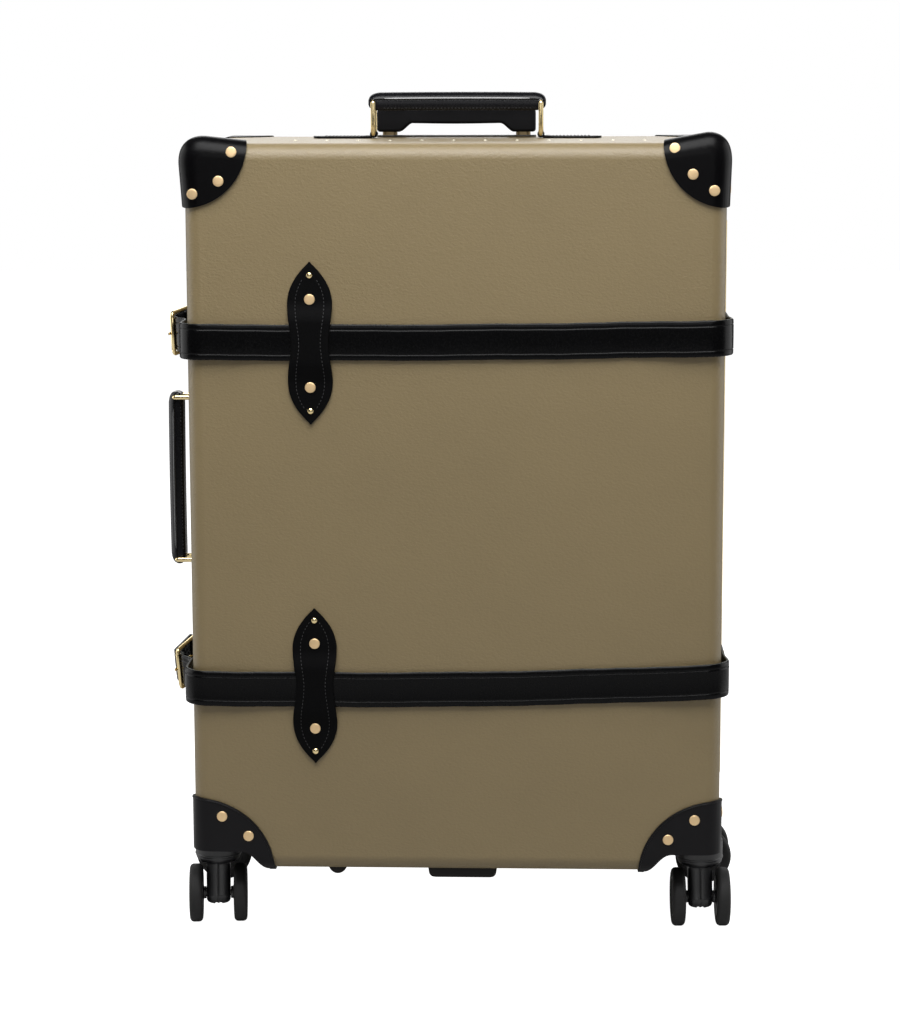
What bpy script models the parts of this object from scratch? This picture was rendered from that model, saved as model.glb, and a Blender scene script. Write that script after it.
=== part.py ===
"""Upright four-wheel trunk suitcase: fibreboard shells, leather straps and handles, brass fittings.

Units are metres, +Z is up and the lid faces -Y. Everything is modelled in the case's own frame,
where x = 0 is the middle of the width, y = 0 the middle of the depth and z = 0 the floor. The empty
named case_origin then moves that frame so that the world origin is under the middle of the part.
"""
import math

import bmesh
import bpy
from mathutils import Matrix, Vector

# Case body
BODY_W = 0.520
BODY_H = 0.716
BODY_D = 0.280
LID_D = 0.100
CLEARANCE = 0.067
WALL = 0.0035
BEND_R = 0.016
CORNER_R = 0.022
RIM_GAP = 0.0006
FIT = 0.0003

# Ash frames inside the two mouths
FRAME_T = 0.010
FRAME_W = 0.012

# Leather caps on the top corners
CAP_R = 0.0615
CAP_T = {"front": 0.0028, "rear": 0.0014}

# Moulded caster housings on the bottom corners
HOUSING_W = 0.080
HOUSING_H = 0.074
HOUSING_D = 0.0905
HOUSING_T = 0.0026
RECESS_H = 0.0195
RECESS_FLAT_W = 0.046
RECESS_W = 0.074
RECESS_D = 0.0836
RECESS_SKEW = 1.25
CUP_FLOOR = 0.004
CUP_WALL = 0.0018

# Twin-wheel casters; each stands turned by some degrees about its king pin
CASTER_INSET_X = 0.0165
CASTER_INSET_Y = 0.060
CASTER_TURN = {"front_left": 5.0, "front_right": 2.0, "rear_left": -90.0, "rear_right": 90.0}
TRAIL = 0.011
WHEEL_R = 0.0293
WHEEL_W = 0.0130
WHEEL_SPAN = 0.0576
TREAD_EDGE = 0.0039
TREAD_DROP = 0.0029
HUB_RIM_R = 0.0193
HUB_FACE_R = 0.0176
HUB_SINK = 0.0023
HUB_R = 0.0060
AXLE_R = 0.0027
AXLE_CLEAR = 0.0004
FORK_W = 0.0226
BOSS_R = 0.0115
NOTCH_W = 0.0050
NOTCH_H = 0.0045
COLLAR_R = 0.0230
COLLAR_RIM = 0.0190
COLLAR_BOWL = 0.0077
NECK_R = 0.0132
KINGPIN_R = 0.0042
KINGPIN_L = 0.0030

# Straps, running round the case at two heights
STRAP_W = 0.035
STRAP_T = 0.0035
STRAP_Z = (0.598, 0.2625)
STRAP_SAG = (0.005, 0.011)
SAG_CENTRE_X = -0.120
STRAP_BEND = 0.022
STRAP_SIDE_OFF = 0.0045
STRAP_EDGE_OFF = 0.0040
STRAP_PRESS_OFF = 0.0008
STRAP_PRESSED_TO = 0.165
STRAP_HINGE_GAP = 0.012
STRAP_FRONT_END = 0.044
TIP_FLARE = (0.0010, 0.0042)
TIP_CROSS_L = 0.012
TIP_EASE_L = 0.018
TIP_SLACK = 0.25
TIP_RETURN = (0.0030, 0.0055)
TIP_PINCH = 0.0022
TIP_POINT = 0.012
TIP_BLUNT = 0.0105
TIP_END = 0.128

# Leaf-shaped loops that hold the straps on the lid
LOOP_X = (-0.1395, -0.1380)
LOOP_Z = (0.5921, 0.2550)
LOOP_L = (0.1567, 0.1545)
LOOP_HALF_W = 0.0217
LOOP_WAIST = 0.0182
LOOP_SHOULDER = 0.47
LOOP_TAPER = 2.15
LOOP_T = 0.0026
LOOP_RAMP = 0.010
LOOP_ROOM = 0.0012

# Roller-bar buckles on the opening side
BUCKLE_L = 0.040
BUCKLE_H = 0.0407
BUCKLE_WIRE = 0.0021
BUCKLE_CORNER = 0.0034
HEEL_OFF = 0.0090
FRONT_BAR_OFF = 0.0215
HEEL_BEHIND_JOINT = 0.008
EYE_T = 0.0028
EYE_BLEND_L = 0.045
PRONG_W = 0.0036
PRONG_T = 0.0026
PRONG_PAST = 0.0045
PRONG_EYE_T = 0.0016
PRONG_HOLE = 0.0010
WIRE_CLEAR = 0.0003

# Stitched leather handles on brass rings
HANDLE_L = 0.180
RING_PITCH = 0.170
RING_H = 0.0332
RING_W = 0.0270
RING_WIRE = 0.00175
RING_CORNER = 0.0024
RING_FOOT = 0.0042
GRIP_W = 0.0215
GRIP_H = 0.0155
GRIP_ROUND = 0.0062
GRIP_END = 0.0100
GRIP_TAPER = ((0.0, 0.46), (0.18, 0.72), (0.5, 0.90), (1.0, 1.0))
GRIP_END_W = 0.60
CHAPE_W = 0.0205
CHAPE_T = 0.0030
CHAPE_L = 0.058
CHAPE_NOSE = 0.0072
CHAPE_LOOP_T = 0.00155
TOP_HANDLE_X = -0.004
SIDE_HANDLE_Z = 0.4335

# Pull-out trolley at the back of the base
TROLLEY_X = -0.007
TROLLEY_INSET = 0.028
TUBE_PITCH = 0.1385
TUBE_W = 0.015
TUBE_DEPTH = 0.014
TUBE_WALL = 0.0012
TUBE_ROUND = 0.004
TUBE_L = 0.520
SLEEVE_WALL = 0.0012
SLEEVE_CLEAR = 0.0004
BEZEL_T = 0.0016
BEZEL_MARGIN = 0.006
BEZEL_ROUND = 0.006
PULL_W = 0.1645
PULL_DEPTH = 0.020
PULL_TOP = 0.036
PULL_TAB = 0.0052
PULL_ARCH = 0.0141
PULL_TAB_W = 0.0225
PULL_SLOPE_W = 0.0145
PULL_ROUND = 0.012
SOCKET_L = 0.012
BUTTON_W = 0.030
BUTTON_DEPTH = 0.009
BUTTON_H = 0.006
BUTTON_PROUD = 0.0022
BUTTON_CLEAR = 0.0004
BUTTON_ROOM = 0.0025

# Locks on the opening side
LOCK_Z = (0.668, 0.182)
LOCK_H = 0.032
LOCK_L = 0.026
LOCK_T = 0.0085
LOCK_EDGE = 0.0012
LOCK_SETBACK = 0.0012
TONGUE_H = 0.013
TONGUE_T = 0.0022
TONGUE_OFF = 0.0034
TONGUE_L = 0.0065
TONGUE_CLEAR = 0.0005
CATCH_H = 0.027
CATCH_L = 0.020
CATCH_T = 0.0018
CATCH_ROOT = 0.006
SLIDE_H = 0.009
SLIDE_W = 0.007
SLIDE_T = 0.0030
SLIDE_BACK = 0.0143
SLIDE_TRAVEL = 0.006
SLIDE_SINK = 0.0016
SLIDE_CLEAR = 0.0004

# Long hinge on the other side
HINGE_L = 0.560
HINGE_KNUCKLES = 7
HINGE_LEAF_W = 0.015
HINGE_LEAF_T = 0.0012
KNUCKLE_R = 0.0026
KNUCKLE_GAP = 0.0005
PIN_R = 0.0012
PIN_CLEAR = 0.0003

# Rubber rests under the front edge
REST_X = 0.0055
REST_W = 0.069
REST_L = 0.022
REST_H = 0.0135
REST_EDGE = 0.004
FOOT_X = -0.120
FOOT_R = 0.0098
FOOT_H = 0.0120
REST_INSET_Y = 0.035

# Facets
CORNER_STEPS = 3
BEND_STEPS = 3
ROUND_SIDES = 18
WIRE_SIDES = 8
WHEEL_SIDES = 20
BORE_SIDES = 10
ARC_STEPS = 10
CAP_SIDES = 24
SOFT_ANGLE = 40
REACH = 0.05

# Heights and planes that follow
TOP = CLEARANCE + BODY_H
FRONT_Y = -BODY_D / 2
BACK_Y = BODY_D / 2
JOINT_Y = FRONT_Y + LID_D
LEFT_X = -BODY_W / 2
RIGHT_X = BODY_W / 2
BASE_MID_Y = (JOINT_Y + BACK_Y) / 2
RECESS_Z = CLEARANCE + RECESS_H
CUP_TOP = RECESS_Z + CUP_FLOOR
CUP_W = RECESS_W + CUP_WALL
CUP_D = RECESS_D + CUP_WALL
CASTER_X = RIGHT_X - CASTER_INSET_X
CASTER_Y = BACK_Y - CASTER_INSET_Y
HINGE_X = RIGHT_X + FIT + KNUCKLE_R
HEEL_X = LEFT_X - HEEL_OFF
HEEL_Y = JOINT_Y + HEEL_BEHIND_JOINT
BAR_X = LEFT_X - FRONT_BAR_OFF
BAR_Y = HEEL_Y - math.sqrt(BUCKLE_L ** 2 - (FRONT_BAR_OFF - HEEL_OFF) ** 2)
TROLLEY_Y = BACK_Y - TROLLEY_INSET

# The front strap hangs lower at the buckle than the rear strap, so the buckle tilts down to it
STRAP_LEFT_X = LEFT_X - STRAP_SIDE_OFF - STRAP_T / 2
LEFT_SAG = 1 - ((STRAP_LEFT_X - SAG_CENTRE_X) / (RIGHT_X - SAG_CENTRE_X)) ** 2
TIP_LEVEL_Y = FRONT_Y + STRAP_FRONT_END + FIT + STRAP_T
TIP_RISE_L = BAR_Y - TIP_LEVEL_Y
BUCKLE_TILT = tuple(sag * LEFT_SAG / (BUCKLE_L + TIP_RISE_L / 2) for sag in STRAP_SAG)

# How far the part reaches from the middle of the case
HANDLE_REACH = RING_FOOT + RING_H + GRIP_H / 2
LEFT_REACH = BODY_W / 2 + HANDLE_REACH
RIGHT_TURNS = [math.radians(CASTER_TURN[corner]) for corner in ("front_right", "rear_right")]
TREAD_RIMS = ((WHEEL_R - TREAD_DROP, WHEEL_SPAN / 2), (WHEEL_R, WHEEL_SPAN / 2 - TREAD_EDGE))
WHEEL_REACH = max(
    (TRAIL + radius) * math.sin(turn) + half * math.cos(turn)
    for turn in RIGHT_TURNS
    for radius, half in TREAD_RIMS
)
RIGHT_REACH = CASTER_X + WHEEL_REACH
FRONT_REACH = BODY_D / 2 + STRAP_PRESS_OFF + STRAP_T + FIT + LOOP_T
BACK_REACH = BODY_D / 2 + STRAP_PRESS_OFF + STRAP_T
UPRIGHT = Vector((0.0, 0.0, 1.0))
CASE_SHIFT = Vector(((LEFT_REACH - RIGHT_REACH) / 2, (FRONT_REACH - BACK_REACH) / 2, 0.0))


def make_material(name, colour, roughness, metallic=0.0):
    """A plain Principled material."""
    made = bpy.data.materials.new(name)
    made.use_nodes = True
    shader = made.node_tree.nodes["Principled BSDF"]
    shader.inputs["Base Color"].default_value = (*colour, 1.0)
    shader.inputs["Roughness"].default_value = roughness
    shader.inputs["Metallic"].default_value = metallic
    return made


def make_empty(name, location, parent=None, rotation=None):
    """An empty that marks a frame or a joint axis."""
    empty = bpy.data.objects.new(name, None)
    bpy.context.collection.objects.link(empty)
    empty.empty_display_size = 0.02
    empty.parent = parent
    empty.location = location
    if rotation:
        empty.rotation_euler = rotation
    return empty


def make_solid(bm, name="work"):
    """Turn a closed bmesh into an object whose faces point outward."""
    bmesh.ops.recalc_face_normals(bm, faces=bm.faces)
    mesh = bpy.data.meshes.new(name)
    bm.to_mesh(mesh)
    bm.free()
    solid = bpy.data.objects.new(name, mesh)
    bpy.context.collection.objects.link(solid)
    return solid


def loft(loops, closed=False):
    """Skin equal loops of points, capped at both ends or joined back to the first loop."""
    bm = bmesh.new()
    rows = [[bm.verts.new(point) for point in loop] for loop in loops]
    following = rows[1:] + rows[:1] if closed else rows[1:]
    for near, far in zip(rows, following):
        for i in range(len(near)):
            j = (i + 1) % len(near)
            bm.faces.new((near[i], near[j], far[j], far[i]))
    if not closed:
        bm.faces.new(rows[0])
        bm.faces.new(rows[-1])
    return make_solid(bm)


def prism(outline, axis, low, high):
    """Extrude an outline: (y, z) pairs along X, (x, z) along Y or (x, y) along Z."""
    place = {
        "X": lambda u, v, h: (h, u, v),
        "Y": lambda u, v, h: (u, h, v),
        "Z": lambda u, v, h: (u, v, h),
    }[axis]
    return loft([[place(u, v, h) for u, v in outline] for h in (low, high)])


def box(low, high):
    """A block between two corners."""
    outline = ((low[0], low[1]), (high[0], low[1]), (high[0], high[1]), (low[0], high[1]))
    return prism(outline, "Z", low[2], high[2])


def lathe(profile, axis, centre, sides=ROUND_SIDES):
    """Turn (radius, height) points about an axis; the first and last radius are zero."""
    bm = bmesh.new()
    rows = []
    for radius, height in profile:
        count = sides if radius > 0 else 1
        row = []
        for i in range(count):
            a = 2 * math.pi * i / sides
            u, v = radius * math.cos(a), radius * math.sin(a)
            spot = {"X": (height, u, v), "Y": (u, height, v), "Z": (u, v, height)}[axis]
            row.append(bm.verts.new(Vector(centre) + Vector(spot)))
        rows.append(row)
    for near, far in zip(rows, rows[1:]):
        for i in range(sides):
            j = (i + 1) % sides
            corners = (near[i % len(near)], near[j % len(near)], far[j % len(far)], far[i % len(far)])
            bm.faces.new(tuple(dict.fromkeys(corners)))
    return make_solid(bm)


def rod(axis, centre, radius, low, high, sides=ROUND_SIDES):
    """A plain round bar along an axis."""
    return lathe(((0, low), (radius, low), (radius, high), (0, high)), axis, centre, sides)


def combine(target, tool, operation):
    """Apply a Boolean with a tool that is used up."""
    change = target.modifiers.new("combine", "BOOLEAN")
    change.operation = operation
    change.object = tool
    change.solver = "EXACT"
    bpy.context.view_layer.update()
    graph = bpy.context.evaluated_depsgraph_get()
    result = bpy.data.meshes.new_from_object(target.evaluated_get(graph))
    target.modifiers.clear()
    target.data = result
    bpy.data.objects.remove(tool)
    return target


def cut(target, tool):
    """Take a tool's volume out of a solid."""
    return combine(target, tool, "DIFFERENCE")


def join(target, tool):
    """Fuse a tool's volume into a solid."""
    return combine(target, tool, "UNION")


def keep(target, tool):
    """Keep only what lies inside the tool."""
    return combine(target, tool, "INTERSECT")


def mirrored(solid, x=False, y=False):
    """A copy of a solid mirrored in the middle planes of the case."""
    bm = bmesh.new()
    bm.from_mesh(solid.data)
    bmesh.ops.scale(bm, vec=(-1 if x else 1, -1 if y else 1, 1), verts=bm.verts)
    return make_solid(bm)


def moved(solid, matrix):
    """Move a solid's own points."""
    solid.data.transform(matrix)
    return solid


def soften(solid, width, segments=2):
    """Round a solid's edges."""
    edge = solid.modifiers.new("soft_edges", "BEVEL")
    edge.width = width
    edge.segments = segments
    edge.limit_method = "ANGLE"
    edge.angle_limit = math.radians(SOFT_ANGLE)
    return solid


def name_piece(solid, name, material, parent, smooth_below=35):
    """Give a finished solid its name and material and hang it on its frame or joint."""
    offset = parent.matrix_world.inverted() @ case_origin.matrix_world
    solid.data.transform(offset)
    solid.name = name
    solid.data.name = name
    solid.parent = parent
    solid.data.materials.clear()
    solid.data.materials.append(material)
    solid.data.shade_smooth()
    solid.data.set_sharp_from_angle(angle=math.radians(smooth_below))
    return solid


def joint_empty(name, location, parent=None):
    """An empty on a joint axis, placed in the case frame."""
    carrier = parent or case_origin
    local = carrier.matrix_world.inverted() @ case_origin.matrix_world @ Vector(location)
    empty = make_empty(name, local, carrier)
    bpy.context.view_layer.update()
    return empty


def rounded(half_u, half_v, radius, steps=CORNER_STEPS):
    """Corner-rounded rectangle about the origin as (u, v, angle of the outward normal)."""
    points = []
    for corner, (u, v) in enumerate(((1, 1), (-1, 1), (-1, -1), (1, -1))):
        for i in range(steps + 1):
            a = math.pi / 2 * (corner + i / steps)
            du, dv = radius * math.cos(a), radius * math.sin(a)
            points.append((u * (half_u - radius) + du, v * (half_v - radius) + dv, a))
    return points


def rounded_outline(half_u, half_v, radius, centre=(0, 0), steps=CORNER_STEPS):
    """The same rectangle as plain (u, v) pairs about a centre."""
    return [(u + centre[0], v + centre[1]) for u, v, _ in rounded(half_u, half_v, radius, steps)]


def wire_loop(half_u, half_v, corner, radius, place, steps=3, sides=WIRE_SIDES):
    """A closed round-wire rectangle; place maps (u, v, w) to a point."""
    loops = []
    for u, v, a in rounded(half_u, half_v, corner, steps):
        loop = []
        for i in range(sides):
            t = 2 * math.pi * i / sides
            out = radius * math.cos(t)
            loop.append(place(u + out * math.cos(a), v + out * math.sin(a), radius * math.sin(t)))
        loops.append(loop)
    return loft(loops, closed=True)


def ease(t):
    """Smooth step from 0 to 1."""
    t = min(1.0, max(0.0, t))
    return t * t * (3 - 2 * t)


def case_outline(grow, y):
    """The case's rounded front outline, grown outward, at one depth."""
    flat = rounded(BODY_W / 2 + grow, BODY_H / 2 + grow, CORNER_R + grow)
    return [(u, y, v + CLEARANCE + BODY_H / 2) for u, v, _ in flat]


def envelope_loops(side, grow, rim_y):
    """Outlines from the rim round the bend to the face: side -1 is the lid, +1 the base."""
    bend = BEND_R + grow
    bend_y = side * (BODY_D / 2 - BEND_R)
    loops = [case_outline(grow, rim_y)]
    for i in range(BEND_STEPS + 1):
        a = math.pi / 2 * i / BEND_STEPS
        inset = bend * (1 - math.cos(a))
        loops.append(case_outline(grow - inset, bend_y + side * bend * math.sin(a)))
    return loops


def tray(side, outer, inner, rim_y):
    """An open shell between two grown copies of the case's surface."""
    inside = envelope_loops(side, inner, rim_y)
    return loft(inside[::-1] + envelope_loops(side, outer, rim_y))


def bottom_corner_block(width, depth, top, margin):
    """The block at the front left bottom corner of the case, open to the outside by a margin."""
    low = (LEFT_X - REACH, FRONT_Y - REACH, CLEARANCE - REACH)
    return box(low, (LEFT_X + width - margin, FRONT_Y + depth - margin, top - margin))


def corner_arc(centre_u, radius_u, radius_v):
    """A quarter ellipse about a bottom corner, closed outside the case."""
    outline = [(centre_u - REACH, CLEARANCE - REACH), (centre_u + radius_u, CLEARANCE - REACH)]
    for i in range(ARC_STEPS + 1):
        a = math.pi / 2 * i / ARC_STEPS
        outline.append((centre_u + radius_u * math.cos(a), CLEARANCE + radius_v * math.sin(a)))
    outline.append((centre_u - REACH, CLEARANCE + radius_v))
    return outline


def recess_outline():
    """The caster recess seen from the front: a flat roof that eases down to the lip."""
    outline = [(LEFT_X - REACH, CLEARANCE - REACH), (LEFT_X - REACH, RECESS_Z)]
    for i in range(9):
        t = i / 8
        u = RECESS_FLAT_W + (RECESS_W - RECESS_FLAT_W) * t
        drop = (1 - math.cos(math.pi * t ** RECESS_SKEW)) / 2
        outline.append((LEFT_X + u, RECESS_Z - RECESS_H * drop))
    outline.append((LEFT_X + RECESS_W, CLEARANCE - REACH))
    return outline


def rim_y(side):
    """Where the lid's (-1) or base's (+1) rim stops."""
    return JOINT_Y + side * RIM_GAP / 2


def build_shell(side):
    """A fibreboard half with its two caster notches."""
    shell = tray(side, 0.0, -WALL, rim_y(side))
    for flip in (False, True):
        notch = bottom_corner_block(CUP_W, CUP_D, CUP_TOP, 0.0)
        other = mirrored(notch, x=flip, y=side > 0)
        bpy.data.objects.remove(notch)
        cut(shell, other)
    return shell


def build_frame(side):
    """The ash hoop that stiffens a mouth."""
    outer = -WALL - FIT
    near = rim_y(side)
    far = near + side * FRAME_W
    rings = ((outer, near), (outer, far), (outer - FRAME_T, far), (outer - FRAME_T, near))
    return loft([case_outline(grow, y) for grow, y in rings], closed=True)


def build_corner_cap(row):
    """The leather cap moulded over the front left top corner, as thick as its row has it."""
    cap = tray(-1, FIT + CAP_T[row], FIT, rim_y(-1))
    bm = bmesh.new()
    bmesh.ops.create_uvsphere(bm, u_segments=CAP_SIDES, v_segments=CAP_SIDES // 2, radius=CAP_R)
    bmesh.ops.translate(bm, vec=(LEFT_X, FRONT_Y, TOP), verts=bm.verts)
    return keep(cap, make_solid(bm))


def build_housing():
    """The moulded front left caster housing: outer flap, cup in the notch and open recess."""
    flap = tray(-1, HOUSING_T, FIT, rim_y(-1))
    keep(flap, prism(corner_arc(LEFT_X, HOUSING_W, HOUSING_H), "Y", FRONT_Y - REACH, 0.0))
    keep(flap, prism(corner_arc(FRONT_Y, HOUSING_D, HOUSING_H), "X", LEFT_X - REACH, 0.0))
    cup = loft(envelope_loops(-1, HOUSING_T, rim_y(-1)))
    keep(cup, bottom_corner_block(CUP_W, CUP_D, CUP_TOP, FIT))
    join(flap, cup)
    cut(flap, prism(recess_outline(), "Y", FRONT_Y - REACH, FRONT_Y + RECESS_D))
    pin = (-CASTER_X, -CASTER_Y, 0)
    return cut(flap, rod("Z", pin, KINGPIN_R + FIT, RECESS_Z - REACH, CUP_TOP + REACH, BORE_SIDES))


def build_fork():
    """A caster fork with its bowl-shaped collar and king pin, about the swivel axis."""
    collar_top = RECESS_Z - FIT
    bowl_top = collar_top - COLLAR_RIM
    bowl_low = bowl_top - COLLAR_BOWL
    neck = NECK_R
    profile = [(0, collar_top + KINGPIN_L), (KINGPIN_R, collar_top + KINGPIN_L)]
    profile += [(KINGPIN_R, collar_top), (COLLAR_R, collar_top), (COLLAR_R, bowl_top)]
    for i in (1, 2, 3):
        a = math.pi / 2 * i / 3
        r = neck + (COLLAR_R - neck) * math.cos(a)
        profile.append((r, bowl_top - COLLAR_BOWL * math.sin(a)))
    profile.append((0, bowl_low))
    fork = lathe(profile, "Z", (0, 0, 0))
    outline = [(-neck, bowl_low + COLLAR_BOWL / 2)]
    for i in range(9):
        a = math.pi + math.pi * i / 8
        outline.append((-TRAIL + BOSS_R * math.cos(a), WHEEL_R + BOSS_R * math.sin(a)))
    outline.append((neck, bowl_low + COLLAR_BOWL / 2))
    join(fork, prism(outline, "X", -FORK_W / 2, FORK_W / 2))
    low = WHEEL_R - BOSS_R
    notch_low = (-NOTCH_W / 2, -TRAIL - REACH, low - REACH)
    cut(fork, box(notch_low, (NOTCH_W / 2, TRAIL + REACH, low + NOTCH_H)))
    axle = (0, -TRAIL, WHEEL_R)
    return cut(fork, rod("X", axle, AXLE_R + AXLE_CLEAR, -FORK_W, FORK_W, BORE_SIDES))


def build_wheel_set():
    """Two tyred wheels pressed on one axle, about the axle's middle."""
    half = WHEEL_SPAN / 2
    inner = half - WHEEL_W
    hub_end = FORK_W / 2 + AXLE_CLEAR
    right = [
        (AXLE_R, hub_end),
        (HUB_R, hub_end),
        (HUB_R, inner),
        (WHEEL_R - TREAD_DROP, inner),
        (WHEEL_R, inner + TREAD_EDGE),
        (WHEEL_R, half - TREAD_EDGE),
        (WHEEL_R - TREAD_DROP, half),
        (HUB_RIM_R, half),
        (HUB_FACE_R, half - HUB_SINK),
        (0, half - HUB_SINK),
    ]
    left = [(r, -h) for r, h in right[::-1]]
    return lathe(left + right, "X", (0, 0, 0), WHEEL_SIDES)


def arc_points(centre, radius, start, stop, steps=6):
    """Points on an arc in plan, angles in degrees."""
    points = []
    for i in range(steps + 1):
        a = math.radians(start + (stop - start) * i / steps)
        points.append((centre[0] + radius * math.cos(a), centre[1] + radius * math.sin(a)))
    return points


def ribbon(path, widths=None, leans=None):
    """A flat strap on edge through points; leans gives the way its width stands at each point."""
    loops = []
    for i, spot in enumerate(path):
        before = Vector(path[max(i - 1, 0)])
        after = Vector(path[min(i + 1, len(path) - 1)])
        lean = leans[i] if leans else UPRIGHT
        out = (after - before).cross(lean).normalized() * STRAP_T / 2
        half = lean * (widths[i] if widths else STRAP_W) / 2
        middle = Vector(spot)
        loops.append([middle - out - half, middle + out - half, middle + out + half, middle - out + half])
    return loft(loops)


def front_height(strap, x):
    """The front strap hangs a little lower towards the middle of the lid."""
    span = RIGHT_X - SAG_CENTRE_X
    drop = max(0.0, 1 - ((x - SAG_CENTRE_X) / span) ** 2)
    return STRAP_Z[strap] - STRAP_SAG[strap] * drop


def tip_height(strap, y):
    """The free end leaves the front run level, climbs through the tilted buckle and levels off."""
    start = front_height(strap, STRAP_LEFT_X)
    slope = math.tan(BUCKLE_TILT[strap])
    run = max(0.0, y - TIP_LEVEL_Y)
    if run < TIP_RISE_L:
        return start + slope * run ** 2 / (2 * TIP_RISE_L)
    climb = min(run - TIP_RISE_L, TIP_CROSS_L)
    slack = run - TIP_RISE_L - climb
    return start + slope * (TIP_RISE_L / 2 + climb + slack * TIP_SLACK)


def tip_share(y):
    """How much the free end leans with the buckle: wholly where it passes through, then no more."""
    into = (y - TIP_LEVEL_Y) / TIP_RISE_L
    past = (y - BAR_Y - TIP_CROSS_L) / TIP_EASE_L
    return min(1.0, max(0.0, min(into, 1 - past)))


def tip_width(y):
    """The free end is pinched a little where it passes the buckle's corners."""
    near = abs(y - BAR_Y - TIP_CROSS_L / 3) / TIP_CROSS_L
    return STRAP_W - TIP_PINCH * max(0.0, 1 - near)


def heel_share(x, y):
    """How far along its last stretch to the heel bar a point of the rear strap is."""
    if x > LEFT_X:
        return 0.0
    return min(1.0, max(0.0, (HEEL_Y + EYE_BLEND_L - y) / EYE_BLEND_L))


def rear_height(strap, x, y):
    """The rear strap climbs a little along the back, then comes down into the tilted buckle."""
    rise = math.tan(BUCKLE_TILT[strap]) * EYE_BLEND_L / 2
    across = min(1.0, max(0.0, (RIGHT_X - x) / BODY_W))
    return STRAP_Z[strap] + rise * (across - heel_share(x, y) ** 2)


def rail_way():
    """The level direction from a buckle's heel bar to its front bar, before it tilts."""
    return Vector((BAR_X - HEEL_X, BAR_Y - HEEL_Y, 0)) / BUCKLE_L


def heel_tilt(strap):
    """Turns a level buckle about its heel so that its front bar drops to the front strap."""
    heel = Vector((HEEL_X, HEEL_Y, STRAP_Z[strap]))
    turn = Matrix.Rotation(-BUCKLE_TILT[strap], 4, rail_way().cross(UPRIGHT))
    return Matrix.Translation(heel) @ turn @ Matrix.Translation(-heel)


def heel_lean(strap, share):
    """The way a strap's width stands, from upright to along the tilted heel bar."""
    bar = heel_tilt(strap).to_3x3() @ UPRIGHT
    return UPRIGHT.lerp(bar, share).normalized()


def side_line(off):
    """Distance of a strap's middle line from a wall, for a given air gap."""
    return off + STRAP_T / 2


def front_strap_path():
    """From the hinge side round the lid to just before the buckle."""
    side = side_line(STRAP_SIDE_OFF)
    edge = side_line(STRAP_EDGE_OFF)
    turn_x = RIGHT_X + side - STRAP_BEND
    turn_y = FRONT_Y - edge + STRAP_BEND
    path = [(RIGHT_X + side, JOINT_Y - STRAP_HINGE_GAP)]
    path += arc_points((turn_x, turn_y), STRAP_BEND, 0, -90)
    steps = 12
    for i in range(1, steps):
        x = turn_x * (1 - 2 * i / steps)
        lift = ease((abs(x) - STRAP_PRESSED_TO) / (turn_x - STRAP_PRESSED_TO))
        off = STRAP_PRESS_OFF + (STRAP_EDGE_OFF - STRAP_PRESS_OFF) * lift
        path.append((x, FRONT_Y - side_line(off)))
    path += arc_points((-turn_x, turn_y), STRAP_BEND, -90, -180)
    path.append((LEFT_X - side, FRONT_Y + STRAP_FRONT_END))
    return path


def build_front_strap(strap):
    """The run of a strap that the lid carries."""
    return ribbon([(x, y, front_height(strap, x)) for x, y in front_strap_path()])


def tip_path(strap):
    """The strap's free end: under the buckle's front bar and out over its heel."""
    start_y = FRONT_Y + STRAP_FRONT_END + FIT
    under = BUCKLE_WIRE + WIRE_CLEAR + STRAP_T / 2
    reach = rail_way() * BUCKLE_L * math.cos(BUCKLE_TILT[strap])
    bar_x, bar_y = HEEL_X + reach.x + under, HEEL_Y + reach.y
    end_y = FRONT_Y + TIP_END
    out_x = bar_x - under - TIP_FLARE[strap]
    out_y = bar_y + TIP_CROSS_L
    path = [(STRAP_LEFT_X, start_y), (STRAP_LEFT_X, TIP_LEVEL_Y)]
    for i in (1, 2):
        t = i / 3
        x = STRAP_LEFT_X + (bar_x - STRAP_LEFT_X) * ease(t)
        path.append((x, TIP_LEVEL_Y + (bar_y - TIP_LEVEL_Y) * t))
    path.append((bar_x, bar_y))
    past_y = bar_y + BUCKLE_WIRE + WIRE_CLEAR
    for i in range(4):
        t = i / 3
        path.append((bar_x + (out_x - bar_x) * ease(t), past_y + (out_y - past_y) * t))
    for y in ((out_y + end_y - TIP_POINT) / 2, end_y - TIP_POINT, end_y):
        path.append((out_x + TIP_RETURN[strap] * (y - out_y) / (end_y - out_y), y))
    return [(x, y, tip_height(strap, y)) for x, y in path]


def build_strap_tip(strap):
    """The pointed free end of a strap, with the hole that the prong takes."""
    path = tip_path(strap)
    widths = [tip_width(y) for x, y, z in path[:-1]] + [TIP_BLUNT]
    leans = [heel_lean(strap, tip_share(y)) for x, y, z in path]
    tip = ribbon(path, widths, leans)
    return cut(tip, moved(prong_bar(strap, PRONG_HOLE), heel_tilt(strap)))


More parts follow.
